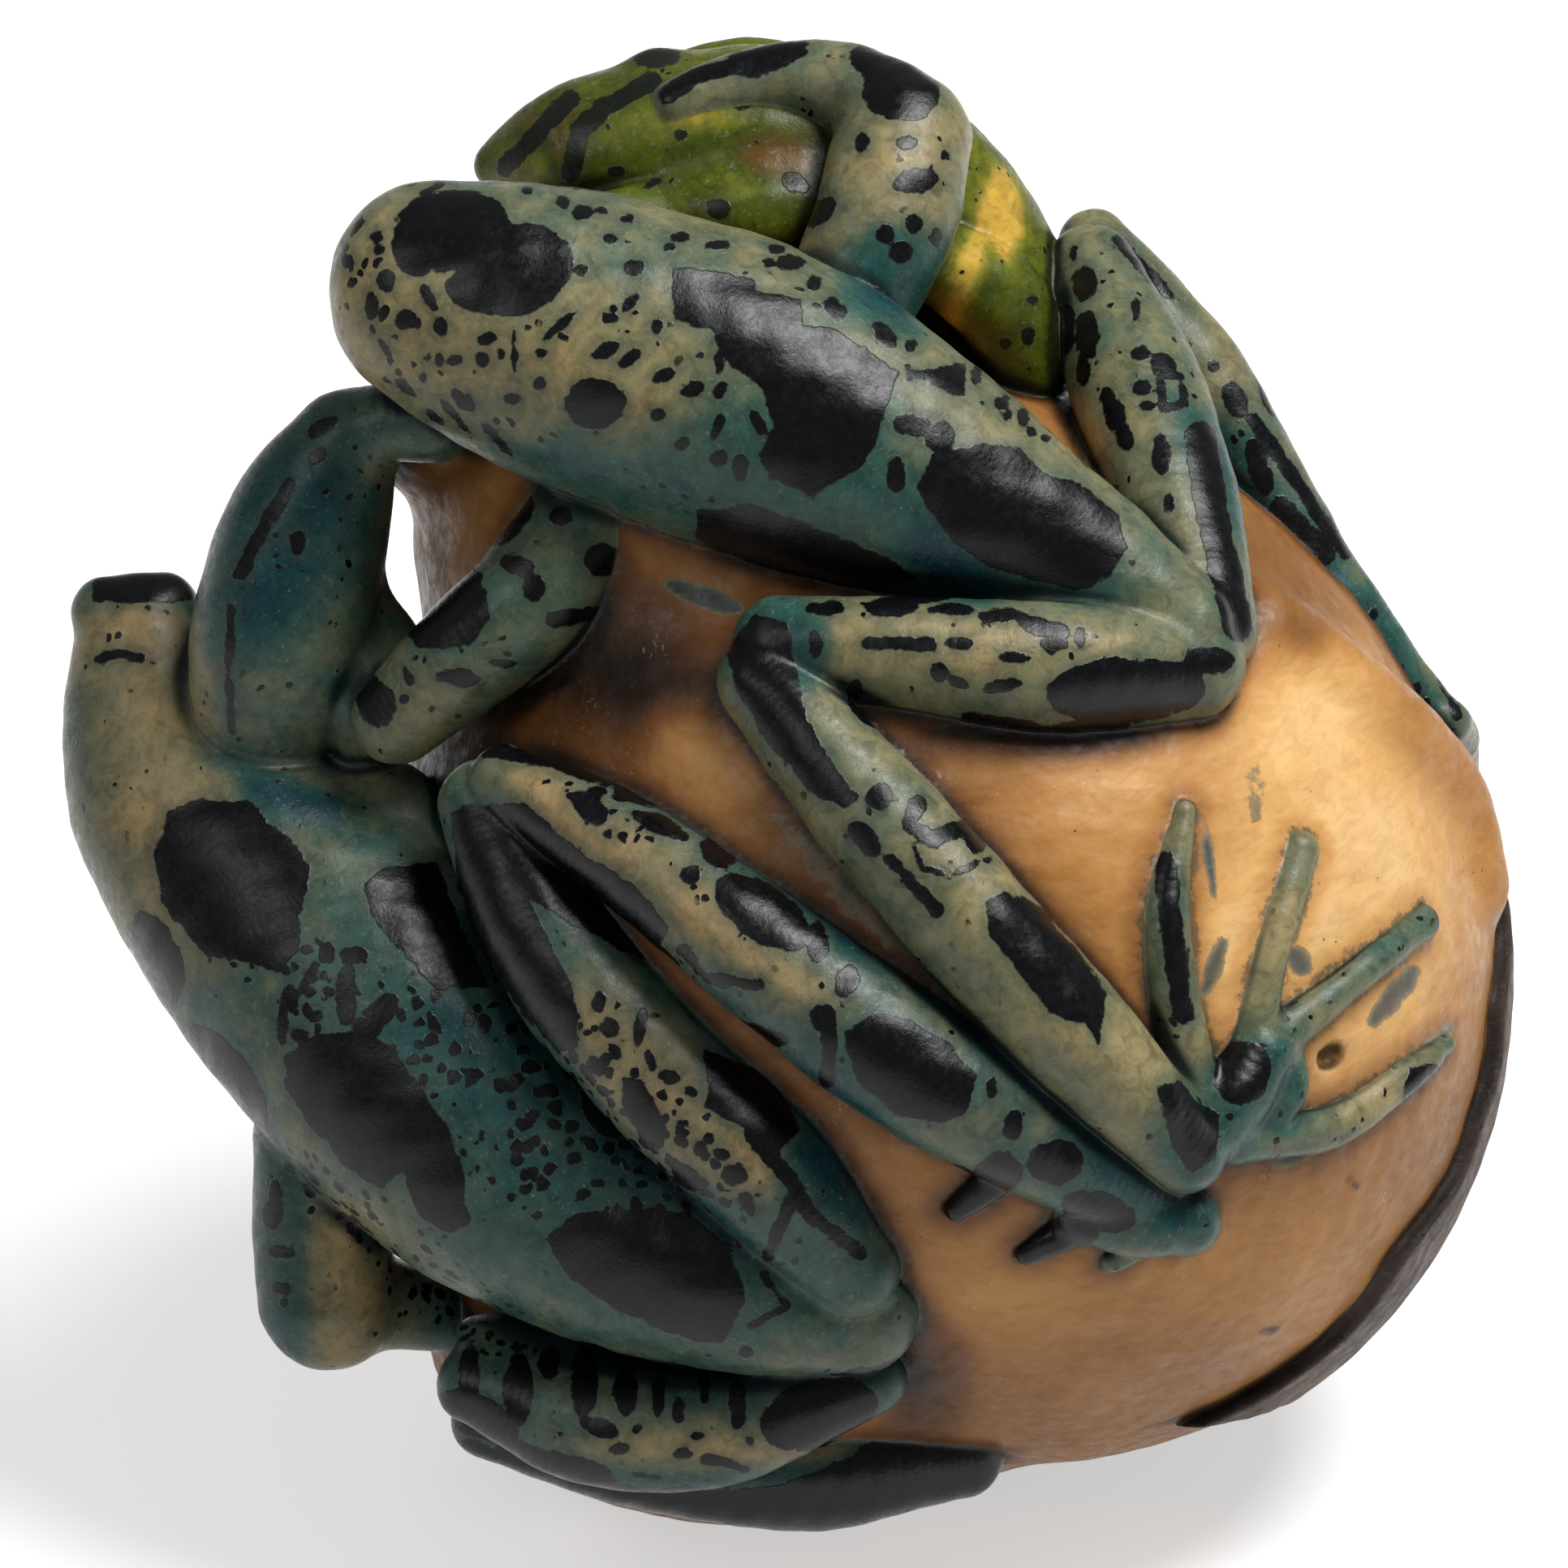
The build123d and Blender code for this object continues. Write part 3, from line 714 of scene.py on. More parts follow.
LOWER_OVALS = [
    (280, 1330, 80, 35, 55), (196, 1180, 30, 60, -20), (406, 1172, 9, 13), (441, 1175, 16, 9),
    (432, 1225, 14, 38), (478, 1240, 22, 16, -50), (457, 1262, 18, 14), (381, 1207, 16, 7, -60),
    (363, 1226, 10, 20), (352, 1262, 8, 28), (374, 1274, 14, 11), (404, 1228, 5, 5),
    (338, 1496, 12, 18), (347, 1542, 18, 8), (348, 1586, 12, 7), (350, 1604, 6, 6),
    (341, 1468, 8, 16), (400, 530, 20, 10, -30), (395, 565, 14, 8, -40), (370, 670, 10, 16),
    (728, 995, 28, 14, 40), (738, 976, 12, 6), (753, 1026, 7, 7), (816, 1017, 36, 11, 25),
    (888, 1046, 24, 20, 30), (851, 1075, 13, 12), (940, 1122, 66, 34, 35), (1006, 1157, 14, 27),
    (1043, 1205, 20, 13, -60), (827, 1186, 12, 8), (1012, 1250, 16, 16), (1219, 1336, 8, 14),
    (1244, 1380, 13, 19), (1296, 1427, 35, 28), (1350, 1487, 48, 24, 15), (870, 1242, 12, 10),
    (792, 1262, 9, 24, 10), (804, 1302, 8, 14, -20), (828, 1322, 14, 9, 10),
    (852, 1338, 10, 7, 30), (740, 1231, 8, 13), (753, 1262, 12, 12), (761, 1293, 10, 6, 60),
    (738, 1310, 14, 10, 50), (796, 1367, 47, 20, 65), (839, 1390, 7, 18), (864, 1410, 9, 9),
    (890, 1417, 10, 7, 20), (905, 1443, 16, 14), (921, 1476, 16, 8, 60), (851, 1445, 25, 14, 30),
    (983, 1523, 7, 7), (980, 1547, 6, 6), (920, 1660, 10, 7), (580, 1693, 13, 40),
    (640, 1709, 19, 45), (678, 1676, 13, 20), (722, 1698, 16, 42), (740, 1753, 25, 12, 20),
    (772, 1709, 15, 30), (813, 1715, 8, 25), (836, 1731, 8, 17), (868, 1704, 8, 20),
    (909, 1725, 11, 30), (1008, 1737, 74, 42, -15), (788, 1754, 7, 7), (861, 1764, 9, 5),
    (925, 1770, 6, 6), (766, 1780, 14, 7), (728, 1802, 30, 9, 20), (843, 1786, 11, 8),
    (799, 1813, 19, 5, 10), (591, 1742, 55, 27, 25), (772, 1846, 27, 20), (843, 1852, 38, 27),
    (966, 1874, 27, 12),
]
LOWER_LINES = [
    (24, 1232, 1436, 1200, 1462, 1170, 1490), (22, 1330, 1506, 1290, 1522, 1255, 1545),
    (9, 360, 600, 330, 650, 300, 710), (5, 290, 750, 284, 830, 290, 900), (10, 598, 922, 668, 935),
    (6, 668, 935, 769, 970), (12, 769, 974, 866, 997),
    (7, 843, 1168, 870, 1200, 901, 1207, 936, 1211), (9, 1018, 1242, 1022, 1289, 1018, 1328),
    (10, 909, 1262, 963, 1277), (8, 975, 1473, 947, 1539),
    (10, 925, 1391, 975, 1451, 997, 1490, 1057, 1539), (5, 942, 1566, 969, 1605, 925, 1627),
    (20, 629, 1786, 740, 1822), (30, 580, 1800, 680, 1850, 800, 1880, 960, 1890, 1120, 1868),
    (12, 860, 1862, 940, 1880), (6, 120, 812, 150, 806, 176, 812), (6, 870, 1791, 920, 1805),
]
LOWER_PATCHES = [
    (
        560, 1790, 640, 1800, 700, 1822, 860, 1838, 960, 1828, 1050, 1790, 1110, 1740, 1270, 1735,
        1275, 1800, 1190, 1860, 1000, 1895, 760, 1895, 640, 1865,
    ),
    (
        193, 1051, 211, 1000, 253, 982, 308, 987, 354, 1023, 388, 1065, 377, 1124, 372, 1170, 349,
        1196, 308, 1184, 262, 1180, 234, 1152, 202, 1111,
    ),
    (
        354, 1299, 391, 1271, 441, 1267, 482, 1285, 519, 1331, 556, 1386, 570, 1418, 583, 1501,
        556, 1519, 519, 1496, 501, 1441, 473, 1464, 427, 1437, 381, 1377, 354, 1340,
    ),
    (
        1041, 1265, 1079, 1243, 1118, 1254, 1167, 1281, 1200, 1320, 1189, 1364, 1156, 1380, 1101,
        1369, 1057, 1331, 1041, 1292,
    ),
    (453, 1092, 473, 1069, 542, 1062, 556, 1106, 606, 1216, 542, 1216, 487, 1161, 459, 1124),
    (
        673, 1523, 706, 1490, 794, 1484, 849, 1490, 903, 1534, 920, 1599, 892, 1649, 849, 1643,
        766, 1610, 706, 1572,
    ),
    (
        559, 1001, 594, 986, 648, 1095, 676, 1149, 707, 1211, 715, 1250, 715, 1289, 695, 1293, 648,
        1250, 598, 1172, 567, 1095,
    ),
    (
        571, 993, 648, 989, 707, 1040, 792, 1095, 827, 1141, 804, 1180, 753, 1165, 676, 1118, 617,
        1075,
    ),
    (870, 1289, 948, 1320, 987, 1386, 956, 1425, 909, 1379, 870, 1359),
    (112, 700, 245, 705, 250, 738, 205, 745, 118, 742),
]
GREEN_OVALS = [
    (761, 214, 10, 6), (806, 229, 13, 6, -35), (887, 261, 15, 12), (1270, 372, 10, 6),
    (1266, 416, 8, 11), (1238, 427, 8, 7), (810, 72, 29, 14), (910, 130, 16, 8, 20),
    (980, 230, 18, 10, 30), (1150, 200, 20, 12, 50), (840, 170, 9, 7),
]
GREEN_LINES = [(12, 702, 123, 668, 163, 624, 207), (12, 805, 104, 747, 133, 717, 163, 702, 217)]
# Tint zones: value at the middle, how soft, then the oval's numbers
UPPER_ZONES = [
    (0.1, 70, 690, 450, 190, 90, 20), (0.25, 30, 900, 120, 90, 34, -8),
    (0.75, 90, 1130, 640, 260, 60, 28), (0.7, 60, 820, 600, 200, 40, 12),
    (0.0, 12, 1650, 717, 26, 28), (0.75, 40, 1480, 1400, 90, 50, 60),
    (0.7, 20, 1540, 1340, 70, 60), (0.1, 14, 1700, 1345, 70, 22, -30),
    (0.1, 14, 1565, 1160, 80, 20, -72), (0.45, 14, 1690, 1180, 90, 22, -38),
    (0.05, 60, 500, 380, 110, 120), (0.1, 50, 1390, 520, 36, 120, 75),
    (0.75, 40, 1100, 350, 60, 60), (0.1, 40, 1112, 200, 60, 70), (0.08, 40, 1180, 790, 220, 46),
    (0.95, 30, 1170, 700, 60, 30, 30), (0.15, 50, 1300, 1200, 230, 60, 50),
    (0.8, 30, 960, 800, 60, 60), (0.8, 40, 1600, 680, 260, 40, 50),
    (0.5, 40, 640, 720, 140, 70, -45),
]
LOWER_ZONES = [
    (1.0, 24, 250, 925, 70, 26, 20), (1.0, 20, 360, 985, 60, 20, 20),
    (0.92, 40, 1400, 1450, 100, 50, 35), (0.2, 80, 200, 1010, 90, 200),
    (0.75, 90, 700, 1400, 320, 120, 35), (0.12, 40, 820, 1090, 250, 40, 37),
    (0.9, 40, 960, 1060, 160, 34, 42), (0.1, 40, 800, 1330, 150, 60, 50),
    (0.0, 30, 930, 1420, 40, 46, 50), (0.95, 40, 1020, 1400, 60, 100, -20),
    (0.15, 40, 430, 1600, 46, 130), (0.7, 30, 330, 1560, 40, 160),
    (0.85, 50, 380, 640, 46, 100, 20), (0.4, 40, 345, 820, 40, 50),
    (0.9, 50, 330, 690, 60, 120, 15), (1.0, 30, 980, 1830, 220, 40), (0.15, 40, 150, 790, 90, 50),
    (0.15, 30, 880, 1780, 160, 30),
]
GREEN_ZONES = [
    (0.0, 18, 1236, 265, 24, 60), (0.05, 14, 1190, 340, 100, 18, -70), (0.8, 40, 670, 180, 60, 60),
    (1.0, 26, 965, 200, 56, 26, 10), (0.12, 22, 872, 142, 52, 18, -8),
    (0.15, 24, 640, 215, 40, 40),
]
# Painted light and shade on the bare nut: 0 is the painted shade of a pocket or under a frog, 1
# the painted light, cream, where the light falls
NUT_PAINTED_LIGHT_AND_SHADE = [
    (0.0, 80, 750, 830, 150, 90, 10), (0.0, 30, 720, 1665, 190, 40, 14),
    (0.0, 50, 590, 960, 90, 70), (0.9, 110, 1620, 1130, 190, 230, 15),
    (0.9, 60, 1610, 890, 80, 90, 40), (0.38, 30, 1575, 720, 90, 40, 60),
    (0.7, 50, 880, 940, 70, 40, 30), (0.72, 110, 1380, 1000, 120, 120),
    (0.6, 110, 1560, 1560, 160, 120), (0.62, 80, 1230, 1600, 120, 70),
    (0.42, 60, 1420, 1720, 220, 60), (0.12, 30, 1270, 905, 140, 26), (0.1, 50, 1130, 1700, 50, 70),
    (0.42, 40, 560, 660, 60, 110), (0.1, 4, 1562, 1636, 12, 4, -10), (0.1, 4, 1508, 1731, 6, 3),
    (0.12, 4, 1663, 1455, 9, 3, 30),
]
# Where dye ran from the frogs onto the nut: 0.5 is grey-beige, 1 is teal
DYE_ZONES = [
    (1.0, 10, 868, 738, 50, 14, 20), (0.9, 12, 430, 960, 60, 20),
    (0.55, 26, 1040, 1090, 130, 30, 45), (1.0, 26, 1230, 1282, 110, 38, 42),
    (1.25, 15, 1490, 1188, 36, 8, -70), (1.2, 15, 1594, 1182, 18, 12, 60),
    (1.2, 15, 1712, 1225, 46, 12, -50), (1.1, 13, 1484, 1060, 44, 5, 82),
    (1.0, 15, 1762, 1284, 34, 7, -38), (1.15, 15, 1590, 1422, 30, 7, -20),
    (0.5, 14, 1540, 980, 16, 40), (0.55, 20, 640, 660, 60, 24, -40),
]
PAINT = {
    "upper": (UPPER_OVALS, UPPER_LINES, UPPER_PATCHES, 0.32, UPPER_ZONES),
    "lower": (LOWER_OVALS, LOWER_LINES, LOWER_PATCHES, 0.5, LOWER_ZONES),
    "green": (GREEN_OVALS, GREEN_LINES, [], 0.5, GREEN_ZONES),
    "nut": ([], [], [], 0.45, NUT_PAINTED_LIGHT_AND_SHADE),
    "coat": ([], [], [], 0.5, []),
}
WEB_ZONES = {
    "lower": [
        (1.0, 60, 700, 1380, 260, 110, 38), (0.8, 40, 420, 1230, 90, 60, 30),
        (0.7, 40, 760, 1010, 110, 20, 30), (0.6, 30, 860, 1400, 90, 30, 55),
        (0.95, 40, 500, 1545, 200, 40, 40), (0.5, 30, 330, 1180, 60, 40),
    ],
    "upper": [(0.6, 40, 480, 400, 90, 60, 60), (0.4, 30, 780, 420, 120, 50, 10)],
    "nut": DYE_ZONES,
}
STREWN = {"upper": (7, 52), "lower": (7, 56), "green": (5, 16)}


def zoned(form, flat, facing, start, zones):
    """A value that soft ovals pull towards their own, on the side that faces the view."""
    values = np.full(len(flat), float(start))
    for value, soft, *mark in zones:
        if touches(form, [mark[:2]], max(mark[2:4]) + soft):
            weight = np.clip(0.5 + oval_depth(flat, mark) / (2 * soft), 0, 1)
            weight = weight**2 * (3 - 2 * weight) * np.clip(0.6 + facing * 2, 0, 1)
            values += (value - values) * weight
    return values


def paint(form, points, normal, near, block, cell):
    """What the materials read at each vertex: spot in pixels, the others from 0 to 1."""
    flat, facing = points[:, :2].astype(float), normal[:, 2]
    ovals, lines, patches, tint, zones = PAINT[form.group]
    spot = depth_of(form, flat, ovals, lines, patches) - 150 * np.maximum(HIDDEN - facing, 0)
    if form.group in STREWN:
        seed = sum(map(ord, form.node))
        spot = np.maximum(spot, strewn(points, facing, cell, seed, STREWN[form.group]))
    # On the bare nut this value holds painted light and shade: low where shade falls, high where
    # the light falls
    tint = zoned(form, flat, facing, tint, zones)
    web = zoned(form, flat, facing, 0.0, WEB_ZONES.get(form.group, []))
    if form.group == "coat":
        tint = np.clip(coat_reach(points) / 30, 0, 1)
    # crease: how closed in a point lies, which the materials turn into painted shade in the
    # creases, and on the frogs also into pooled dye
    crease = np.zeros(len(points))
    for reach in CREASE_REACHES:
        spots = points + normal * reach
        open_share = near.total(spots, near.fields(spots, block)) / reach
        crease = np.maximum(crease, np.clip(1 - open_share, 0, 1))
    # contact: how near the nut or coat lies to a frog; on the nut it gives painted shade next to
    # the frogs and the dye smeared along them
    contact = np.zeros(len(points))
    if form.group in ("nut", "coat"):
        contact = np.clip(1 - near.others(points, block) / CONTACT_REACH, 0, 1)
    return {"spot": spot, "tint": tint, "crease": crease, "contact": contact, "web": web}


def build_skin(form, material):
    """The form's mesh object, with what its material reads stored at its vertices."""
    cell = KERNEL_CELL if form.group in ("nut", "coat") else FINE_CELL
    vertices, quads, near, block = sculpt(form, cell)
    normal = slope_of(near, vertices, block)
    mesh = bpy.data.meshes.new(form.node + "_skin")
    mesh.vertices.add(len(vertices))
    mesh.vertices.foreach_set("co", world(vertices).astype(np.float32).ravel())
    mesh.loops.add(quads.size)
    mesh.loops.foreach_set("vertex_index", quads.astype(np.int32).ravel())
    mesh.polygons.add(len(quads))
    mesh.polygons.foreach_set("loop_start", np.arange(0, quads.size, 4, dtype=np.int32))
    mesh.update(calc_edges=True)
    for name, values in paint(form, vertices, normal, near, block, cell).items():
        layer = mesh.attributes.new(name, "FLOAT", "POINT")
        layer.data.foreach_set("value", np.asarray(values, np.float32))
    mesh.validate()
    mesh.normals_split_custom_set_from_vertices((normal @ AXES).astype(np.float32).tolist())
    skin = bpy.data.objects.new(form.node + "_skin", mesh)
    bpy.context.scene.collection.objects.link(skin)
    mesh.materials.append(material)
    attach(skin, "root")
    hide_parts(form.node)
    return skin


# Materials
def srgb(*channels):
    """A colour written as a screen shows it, from 0 to 255, as Blender keeps it."""
    shares = [c / 255 for c in channels]
    return (*[s / 12.92 if s < 0.04045 else ((s + 0.055) / 1.055) ** 2.4 for s in shares], 1)


class Shader:
    """A material under construction: each call adds a node and gives its output."""

    def __init__(self, name):
        self.material = bpy.data.materials.new(name)
        self.material.use_nodes = True
        self.tree = self.material.node_tree
        self.surface = self.tree.nodes["Principled BSDF"]
        self.place = self.tree.nodes.new("ShaderNodeTexCoord").outputs["Object"]

    def feed(self, socket, value):
        if isinstance(value, bpy.types.NodeSocket):
            self.tree.links.new(value, socket)
        else:
            socket.default_value = value

    def node(self, kind, inputs, **settings):
        """A new node with those settings, and a value or a link for each input."""
        node = self.tree.nodes.new("ShaderNode" + kind)
        for name, value in settings.items():
            setattr(node, name, value)
        for key, value in inputs.items():
            self.feed(node.inputs[key], value)
        return node

    def read(self, name):
        """A value that was stored at the vertices."""
        return self.node("Attribute", {}, attribute_name=name).outputs["Fac"]

    def math(self, kind, *values, clamp=False):
        inputs = dict(enumerate(values))
        return self.node("Math", inputs, operation=kind, use_clamp=clamp).outputs[0]

    def noise(self, scale, detail=3.0, rough=0.55, twist=0.0, place=None):
        inputs = {"Vector": place or self.place, "Scale": scale, "Detail": detail}
        inputs |= {"Roughness": rough, "Distortion": twist}
        return self.node("TexNoise", inputs).outputs["Fac"]

    def sway(self, value, reach, *noise):
        """The value, pushed up and down by noise."""
        push = self.math("SUBTRACT", self.noise(*noise), 0.5)
        return self.math("MULTIPLY_ADD", push, reach, value)

    def cells(self, scale, feature="F1", place=None):
        inputs = {"Vector": place or self.place, "Scale": scale}
        return self.node("TexVoronoi", inputs, feature=feature).outputs["Distance"]

    def stretch(self, *scale):
        """The place, drawn out along the axes."""
        return self.node("Mapping", {"Vector": self.place, "Scale": scale}).outputs[0]

    def warp(self, scale, distance):
        """The place, pushed about by noise, so that cells lose their regular shape."""
        cloud = self.node("TexNoise", {"Vector": self.place, "Scale": scale}).outputs["Color"]
        inputs = {0: cloud, 1: (distance,) * 3, 2: self.place}
        return self.node("VectorMath", inputs, operation="MULTIPLY_ADD").outputs[0]

    def fit(self, value, low, high, start=0.0, end=1.0):
        """The value, softly mapped from low and high to start and end."""
        inputs = dict(enumerate((value, low, high, start, end)))
        return self.node("MapRange", inputs, interpolation_type="SMOOTHSTEP").outputs[0]

    def mix(self, share, one, other, blend="MIX"):
        inputs = {0: share, 6: one, 7: other}
        return self.node("Mix", inputs, data_type="RGBA", blend_type=blend).outputs[2]

    def darken(self, share, colour, by):
        """The colour, multiplied by another for a share."""
        return self.mix(share, colour, self.mix(1.0, colour, by, "MULTIPLY"))

    def ramp(self, value, stops):
        node = self.node("ValToRGB", {"Fac": value})
        elements = node.color_ramp.elements
        while len(elements) < len(stops):
            elements.new(0.5)
        for element, (at, *colour) in zip(elements, stops):
            element.position, element.color = at, srgb(*colour)
        return node.outputs["Color"]

    def bump(self, value, strength, distance, onto=None):
        inputs = {"Strength": strength, "Distance": distance, "Height": value}
        if onto is not None:
            inputs["Normal"] = onto
        return self.node("Bump", inputs).outputs["Normal"]

    def close(self, colour, rough, normal, **constants):
        inputs = {"Base Color": colour, "Roughness": rough, "Normal": normal, **constants}
        for name, value in inputs.items():
            self.feed(self.surface.inputs[name.replace("_", " ")], value)
        return self.material


def skin_material(name, stops, rim, dark, crease, speckle):
    """Dyed and polished ivory with lacquered black marks, with pooled dye and painted shade in its
    creases and painted glints on the black.
    """
    s = Shader(name)
    depth = s.sway(s.read("spot"), 8.0, 3300, 3, 0.6)
    depth = s.sway(depth, s.fit(s.read("spot"), -14, 26, 8, 34), 1050, 3, 0.6)
    colour = s.ramp(s.sway(s.read("tint"), 0.75, 420, 4, 0.6), stops)
    colour = s.mix(s.fit(depth, -20, -1, 0, 0.45), colour, rim)
    streak = s.fit(s.noise(1500, 5, 0.7, 1.0), 0.35, 0.75, 0, 0.6)
    colour = s.darken(streak, colour, srgb(120, 116, 110))
    pale = s.fit(s.noise(5200, 2, 0.7), 0.6, 0.75, 0, 0.3)
    colour = s.mix(pale, colour, srgb(140, 142, 130))
    # Creases: dye pooled there, and painted shade
    colour = s.mix(s.fit(s.read("crease"), 0.12, 0.8, 0, 0.9), colour, crease)
    web = s.sway(s.read("web"), 0.5, 700, 3)
    spread = s.fit(web, 0.2, 1.0, 0.2, 0.43)
    freckle = s.math("SUBTRACT", s.cells(speckle, place=s.warp(1500, 0.00055)), spread)
    where = s.math("MAXIMUM", s.fit(s.noise(600, 2), 0.52, 0.6), s.fit(web, 0.25, 0.4))
    freckle = s.math("MULTIPLY", s.fit(freckle, -0.03, 0.03, 1, 0), where)
    mark = s.math("MAXIMUM", s.fit(depth, -1.3, 1.3), freckle)
    black = s.mix(s.fit(s.noise(900, 4, 0.7), 0.4, 0.8, 0, 0.35), dark, srgb(12, 13, 16))
    # Painted glints: pale specks in the black that stand in for highlights
    glint = s.fit(s.noise(7000, 3, 0.8), 0.69, 0.77, 0, 0.25)
    colour = s.mix(mark, colour, s.mix(glint, black, srgb(74, 76, 84)))
    rough = s.fit(s.noise(3000, 4, 0.8), 0.3, 0.7, 0.22, 0.46)
    rough = s.math("MULTIPLY_ADD", mark, -0.09, rough)
    normal = s.bump(s.noise(6200, 4, 0.75), 0.4, 0.00004)
    normal = s.bump(s.noise(1400, 3, 0.6), 0.14, 0.0001, normal)
    normal = s.bump(mark, 0.5, 0.00003, normal)
    constants = {"Subsurface_Weight": 0.04, "Subsurface_Scale": 0.0005}
    return s.close(colour, rough, normal, Specular_IOR_Level=0.24, **constants)


def ivory_material():
    """The bare nut: amber to cream, with painted shade in dark brown in its pockets, next to the
    frogs and in its creases, and painted light in cream where the light falls.
    """
    s = Shader("ivory")
    # Painted light and shade from the nut's zones, with a tone that differs at random
    painted_light_and_tone = s.sway(s.read("tint"), 0.4, 130, 5, 0.6, 0.6)
    # Painted shade: the nut darker where a frog lies close
    painted_light_and_tone = s.math("MULTIPLY_ADD", s.fit(s.read("contact"), 0.4, 1.0), -0.2, painted_light_and_tone)
    colour = s.ramp(painted_light_and_tone, IVORY_STOPS)
    grain = s.noise(900, 5, 0.65, 0.8, s.stretch(1.0, 1.0, 2.6))
    colour = s.darken(s.fit(grain, 0.35, 0.75, 0, 0.32), colour, srgb(176, 148, 116))
    scratch = s.noise(2300, 3, 0.7, 2.2, s.stretch(1.6, 1.0, 0.9))
    scratch = s.fit(scratch, 0.63, 0.72, 0, 0.25)
    scratch = s.math("MULTIPLY", scratch, s.fit(s.noise(240, 3), 0.45, 0.6))
    colour = s.mix(scratch, colour, srgb(226, 206, 176))
    fleck = s.fit(s.cells(1500), 0.05, 0.09, 0.8, 0)
    fleck = s.math("MULTIPLY", fleck, s.fit(s.noise(300, 2), 0.55, 0.62))
    colour = s.mix(fleck, colour, srgb(50, 32, 18))
    dye = s.sway(s.read("web"), 0.9, 1500, 4, 0.75)
    edge = s.sway(s.read("contact"), 0.7, 1500, 4, 0.75)
    dyed = s.math("MAXIMUM", s.fit(dye, 0.35, 0.5, 0, 0.85), s.fit(edge, 0.86, 0.98, 0, 0.7))
    colour = s.mix(dyed, colour, s.ramp(dye, DYE_STOPS))
    # Painted shade in the creases, near black brown
    colour = s.mix(s.fit(s.read("crease"), 0.2, 0.9, 0, 0.85), colour, srgb(24, 14, 8))
    rough = s.fit(s.noise(1600, 4, 0.75), 0.3, 0.72, 0.3, 0.6)
    normal = s.bump(s.noise(3600, 4, 0.7), 0.4, 0.00004)
    normal = s.bump(s.noise(420, 3, 0.6), 0.4, 0.0003, normal)
    constants = {"Subsurface_Weight": 0.12, "Subsurface_Scale": 0.0012}
    return s.close(colour, rough, normal, Specular_IOR_Level=0.28, **constants)


def coat_material():
    """The dull, fibrous grey-brown skin of the seed, darkest along its broken edge."""
    s = Shader("coat")
    colour = s.ramp(s.noise(230, 6, 0.7, 1.2), COAT_STOPS)
    fibre = s.noise(1300, 6, 0.75, 1.4, s.stretch(1.0, 1.0, 2.8))
    colour = s.darken(s.fit(fibre, 0.35, 0.7, 0, 0.75), colour, srgb(112, 100, 90))
    pit = s.fit(s.cells(2300, place=s.warp(1500, 0.0005)), 0.12, 0.28, 1, 0)
    pit = s.math("MULTIPLY", pit, s.fit(s.noise(420, 3), 0.45, 0.62, 0, 0.6))
    colour = s.mix(pit, colour, srgb(30, 21, 15))
    split = s.fit(s.cells(260, "DISTANCE_TO_EDGE", s.warp(500, 0.0025)), 0.0, 0.02, 1, 0)
    split = s.math("MULTIPLY", split, s.fit(s.noise(150, 3), 0.46, 0.56, 0, 0.7))
    colour = s.mix(split, colour, srgb(24, 16, 11))
    colour = s.mix(s.fit(s.read("tint"), 0.1, 0.7, 0.85, 0), colour, srgb(34, 22, 15))
    # Painted shade in the creases
    colour = s.mix(s.fit(s.read("crease"), 0.2, 0.9, 0, 0.7), colour, srgb(20, 13, 9))
    rough = s.fit(s.noise(1500, 4, 0.7), 0.3, 0.75, 0.5, 0.78)
    normal = s.bump(fibre, 0.6, 0.00012)
    normal = s.bump(s.math("ADD", pit, split), -0.6, 0.00006, normal)
    return s.close(colour, rough, normal, Specular_IOR_Level=0.35)


def floor_material():
    """A pale floor, which the camera sees a little brighter, with its shadow."""
    s = Shader("floor")
    shade = s.mix(s.noise(40, 3), (0.7, 0.7, 0.7, 1), (0.74, 0.74, 0.74, 1))
    path = s.tree.nodes.new("ShaderNodeLightPath").outputs
    seen = s.math("ADD", path["Is Camera Ray"], path["Is Glossy Ray"])
    seen = s.math("ADD", seen, path["Is Transmission Ray"], clamp=True)
    s.feed(s.surface.inputs["Emission Color"], (1, 1, 1, 1))
    s.feed(s.surface.inputs["Emission Strength"], s.math("MULTIPLY", seen, FLOOR_GLOW))
    normal = s.bump(s.noise(900, 3), 0.05, 0.0001)
    return s.close(shade, 0.7, normal, Specular_IOR_Level=0.2)


# Dyes from cream to full strength: a share, then the colour at it
TEAL_STOPS = [
    (0.0, 150, 134, 92), (0.28, 114, 112, 82), (0.55, 50, 84, 73), (0.8, 18, 62, 63),
    (1.0, 6, 48, 60),
]
BLUE_STOPS = [
    (0.0, 156, 132, 90), (0.28, 114, 110, 82), (0.55, 54, 80, 70), (0.8, 20, 62, 63),
    (1.0, 6, 52, 62),
]
GREEN_STOPS = [
    (0.0, 192, 156, 62), (0.28, 112, 112, 26), (0.55, 64, 76, 10), (0.8, 76, 66, 14),
    (1.0, 92, 66, 14),
]
# The bare nut, from the near black brown of painted shade through amber to the cream of painted
# light: a share, then the colour at it
IVORY_STOPS = [
    (0.0, 24, 13, 6), (0.3, 104, 64, 26), (0.6, 170, 120, 64), (0.85, 208, 162, 100),
    (1.0, 224, 190, 138),
]
DYE_STOPS = [(0.0, 40, 44, 36), (0.5, 120, 108, 84), (0.75, 58, 80, 76), (1.0, 14, 54, 64)]
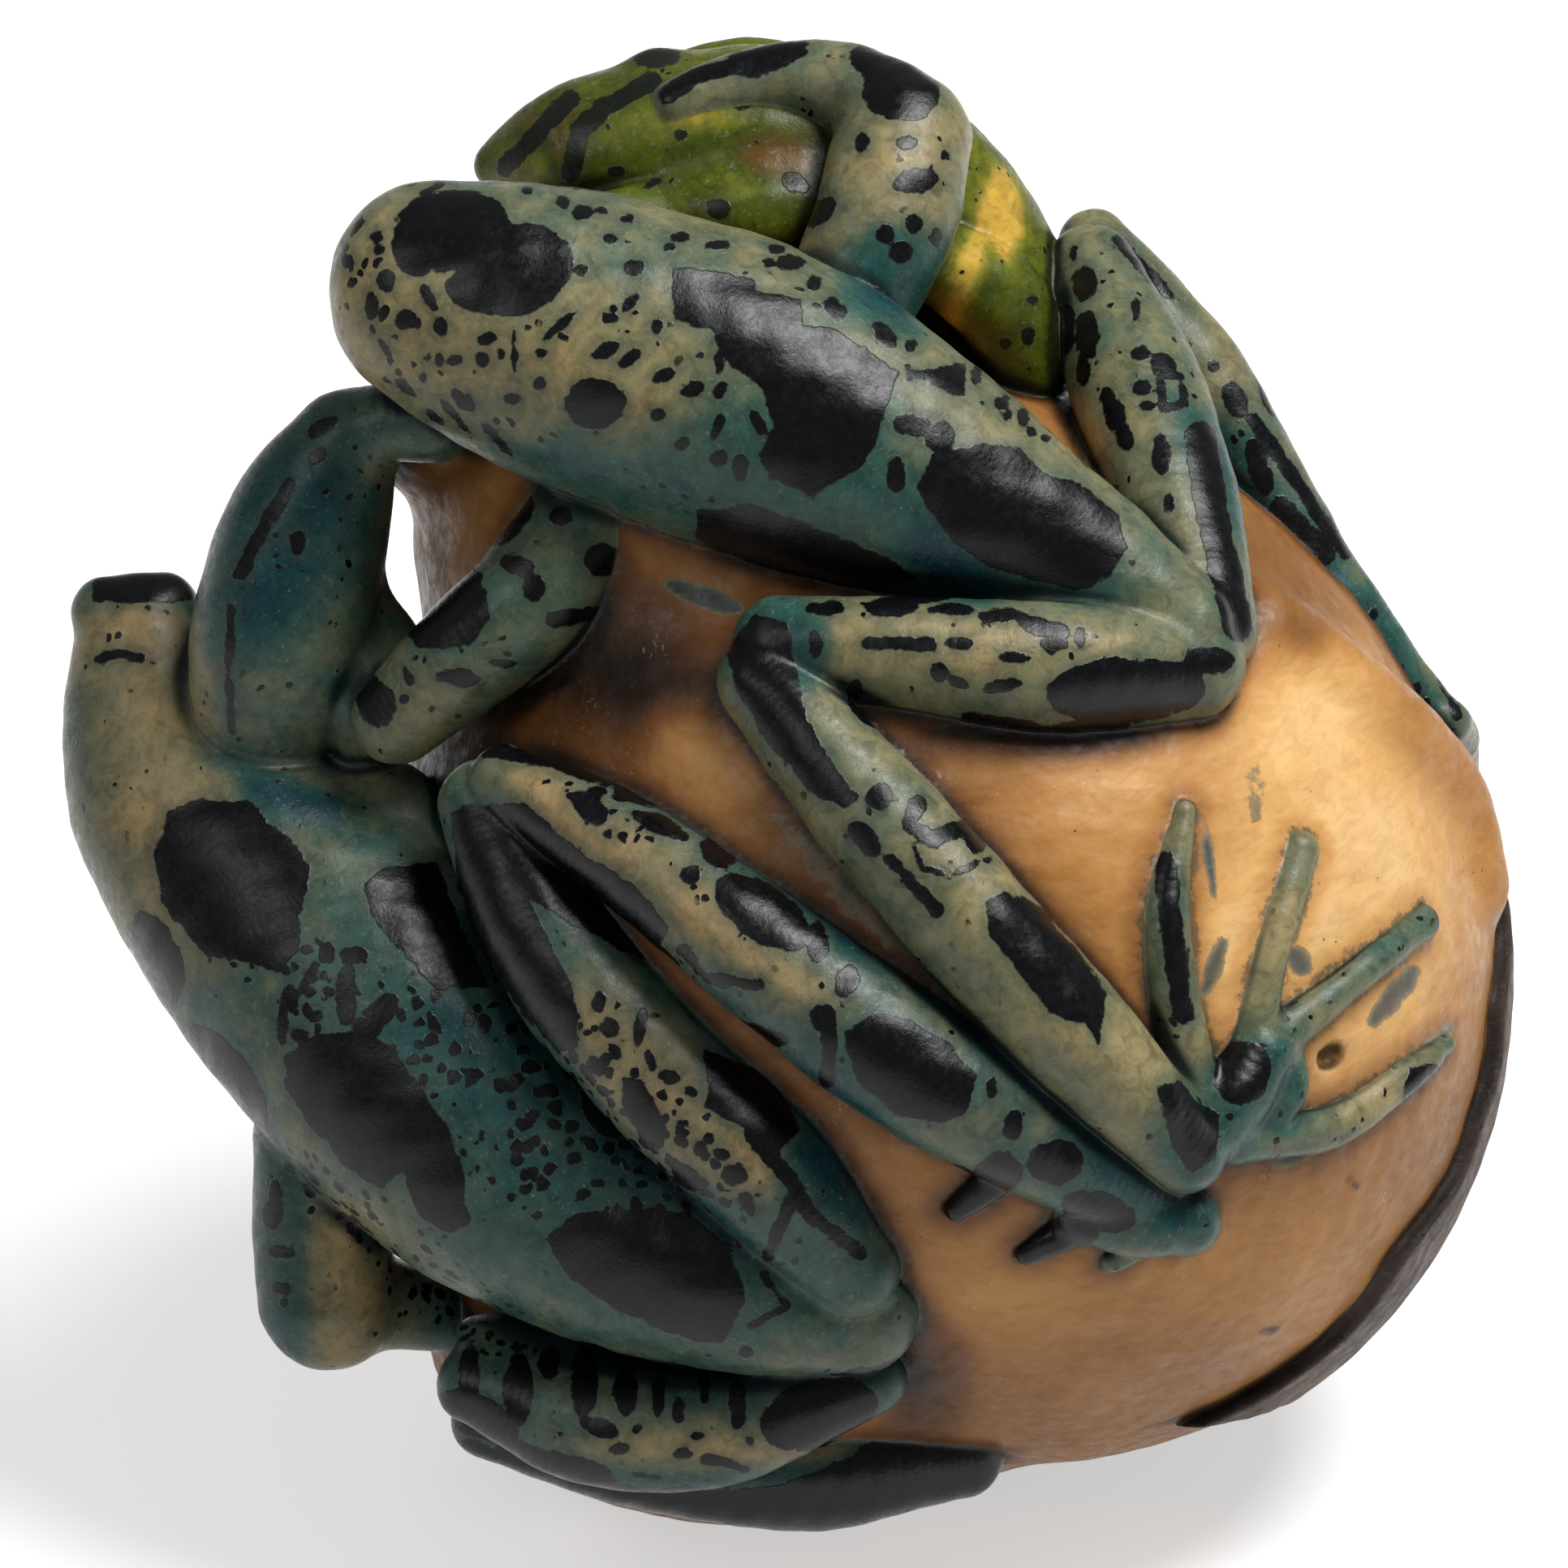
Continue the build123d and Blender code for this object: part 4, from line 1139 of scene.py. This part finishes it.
COAT_STOPS = [(0.32, 44, 32, 24), (0.5, 88, 68, 54), (0.66, 126, 106, 90)]
BLACK = srgb(6, 7, 9)
DARK_GREEN = srgb(20, 24, 16)
SLOTS = {
    "nut": "ivory", "coat": "coat", "upper": "teal_skin", "lower": "blue_skin",
    "green": "green_skin",
}
# Each skin: its dye stops, the rim round its marks, its black, the dark of dye pooled in its
# creases together with painted shade there, and its freckle scale
SKINS = {
    "upper": (TEAL_STOPS, srgb(44, 72, 62), BLACK, srgb(8, 24, 26), 1500),
    "lower": (BLUE_STOPS, srgb(52, 72, 64), BLACK, srgb(8, 26, 30), 1700),
    "green": (GREEN_STOPS, srgb(60, 70, 30), DARK_GREEN, srgb(16, 18, 6), 1900),
}
MATERIALS = {"nut": ivory_material(), "coat": coat_material()}
for group, looks in SKINS.items():
    MATERIALS[group] = skin_material(SLOTS[group], *looks)
for form in FORMS:
    skin = build_skin(form, MATERIALS[form.group])

# Floor, light and camera
bpy.ops.mesh.primitive_plane_add(size=FLOOR_SIZE, location=(0, 0, 0))
floor = bpy.context.object
floor.name = "floor"
floor.data.materials.append(floor_material())

scene = bpy.context.scene
scene.view_settings.view_transform = "Standard"
sky = bpy.data.worlds.new("sky")
sky.use_nodes = True
background = sky.node_tree.nodes["Background"].inputs
background["Color"].default_value = (1, 1, 1, 1)
background["Strength"].default_value = SKY_GLOW
scene.world = sky
for name, (spot, size, watts) in LAMPS.items():
    light = bpy.data.lights.new(name, "AREA")
    light.shape, light.size, light.energy = "DISK", size, watts
    holder = bpy.data.objects.new(name, light)
    scene.collection.objects.link(holder)
    holder.location = spot
    holder.rotation_euler = (LIT_SPOT - Vector(spot)).to_track_quat("-Z", "Y").to_euler()

camera = bpy.data.cameras.new("camera")
camera.sensor_width, camera.sensor_fit = SENSOR, "HORIZONTAL"
camera.lens = SENSOR * DISTANCE / (PICTURE * PIXEL)
camera.clip_end = 20
eye = bpy.data.objects.new("camera", camera)
scene.collection.objects.link(eye)
middle = world(np.array((PICTURE / 2, PICTURE / 2, 0.0)))
eye.location = middle + AXES[2] * DISTANCE
eye.rotation_euler = (math.radians(90) - TILT, 0, 0)
scene.camera = eye
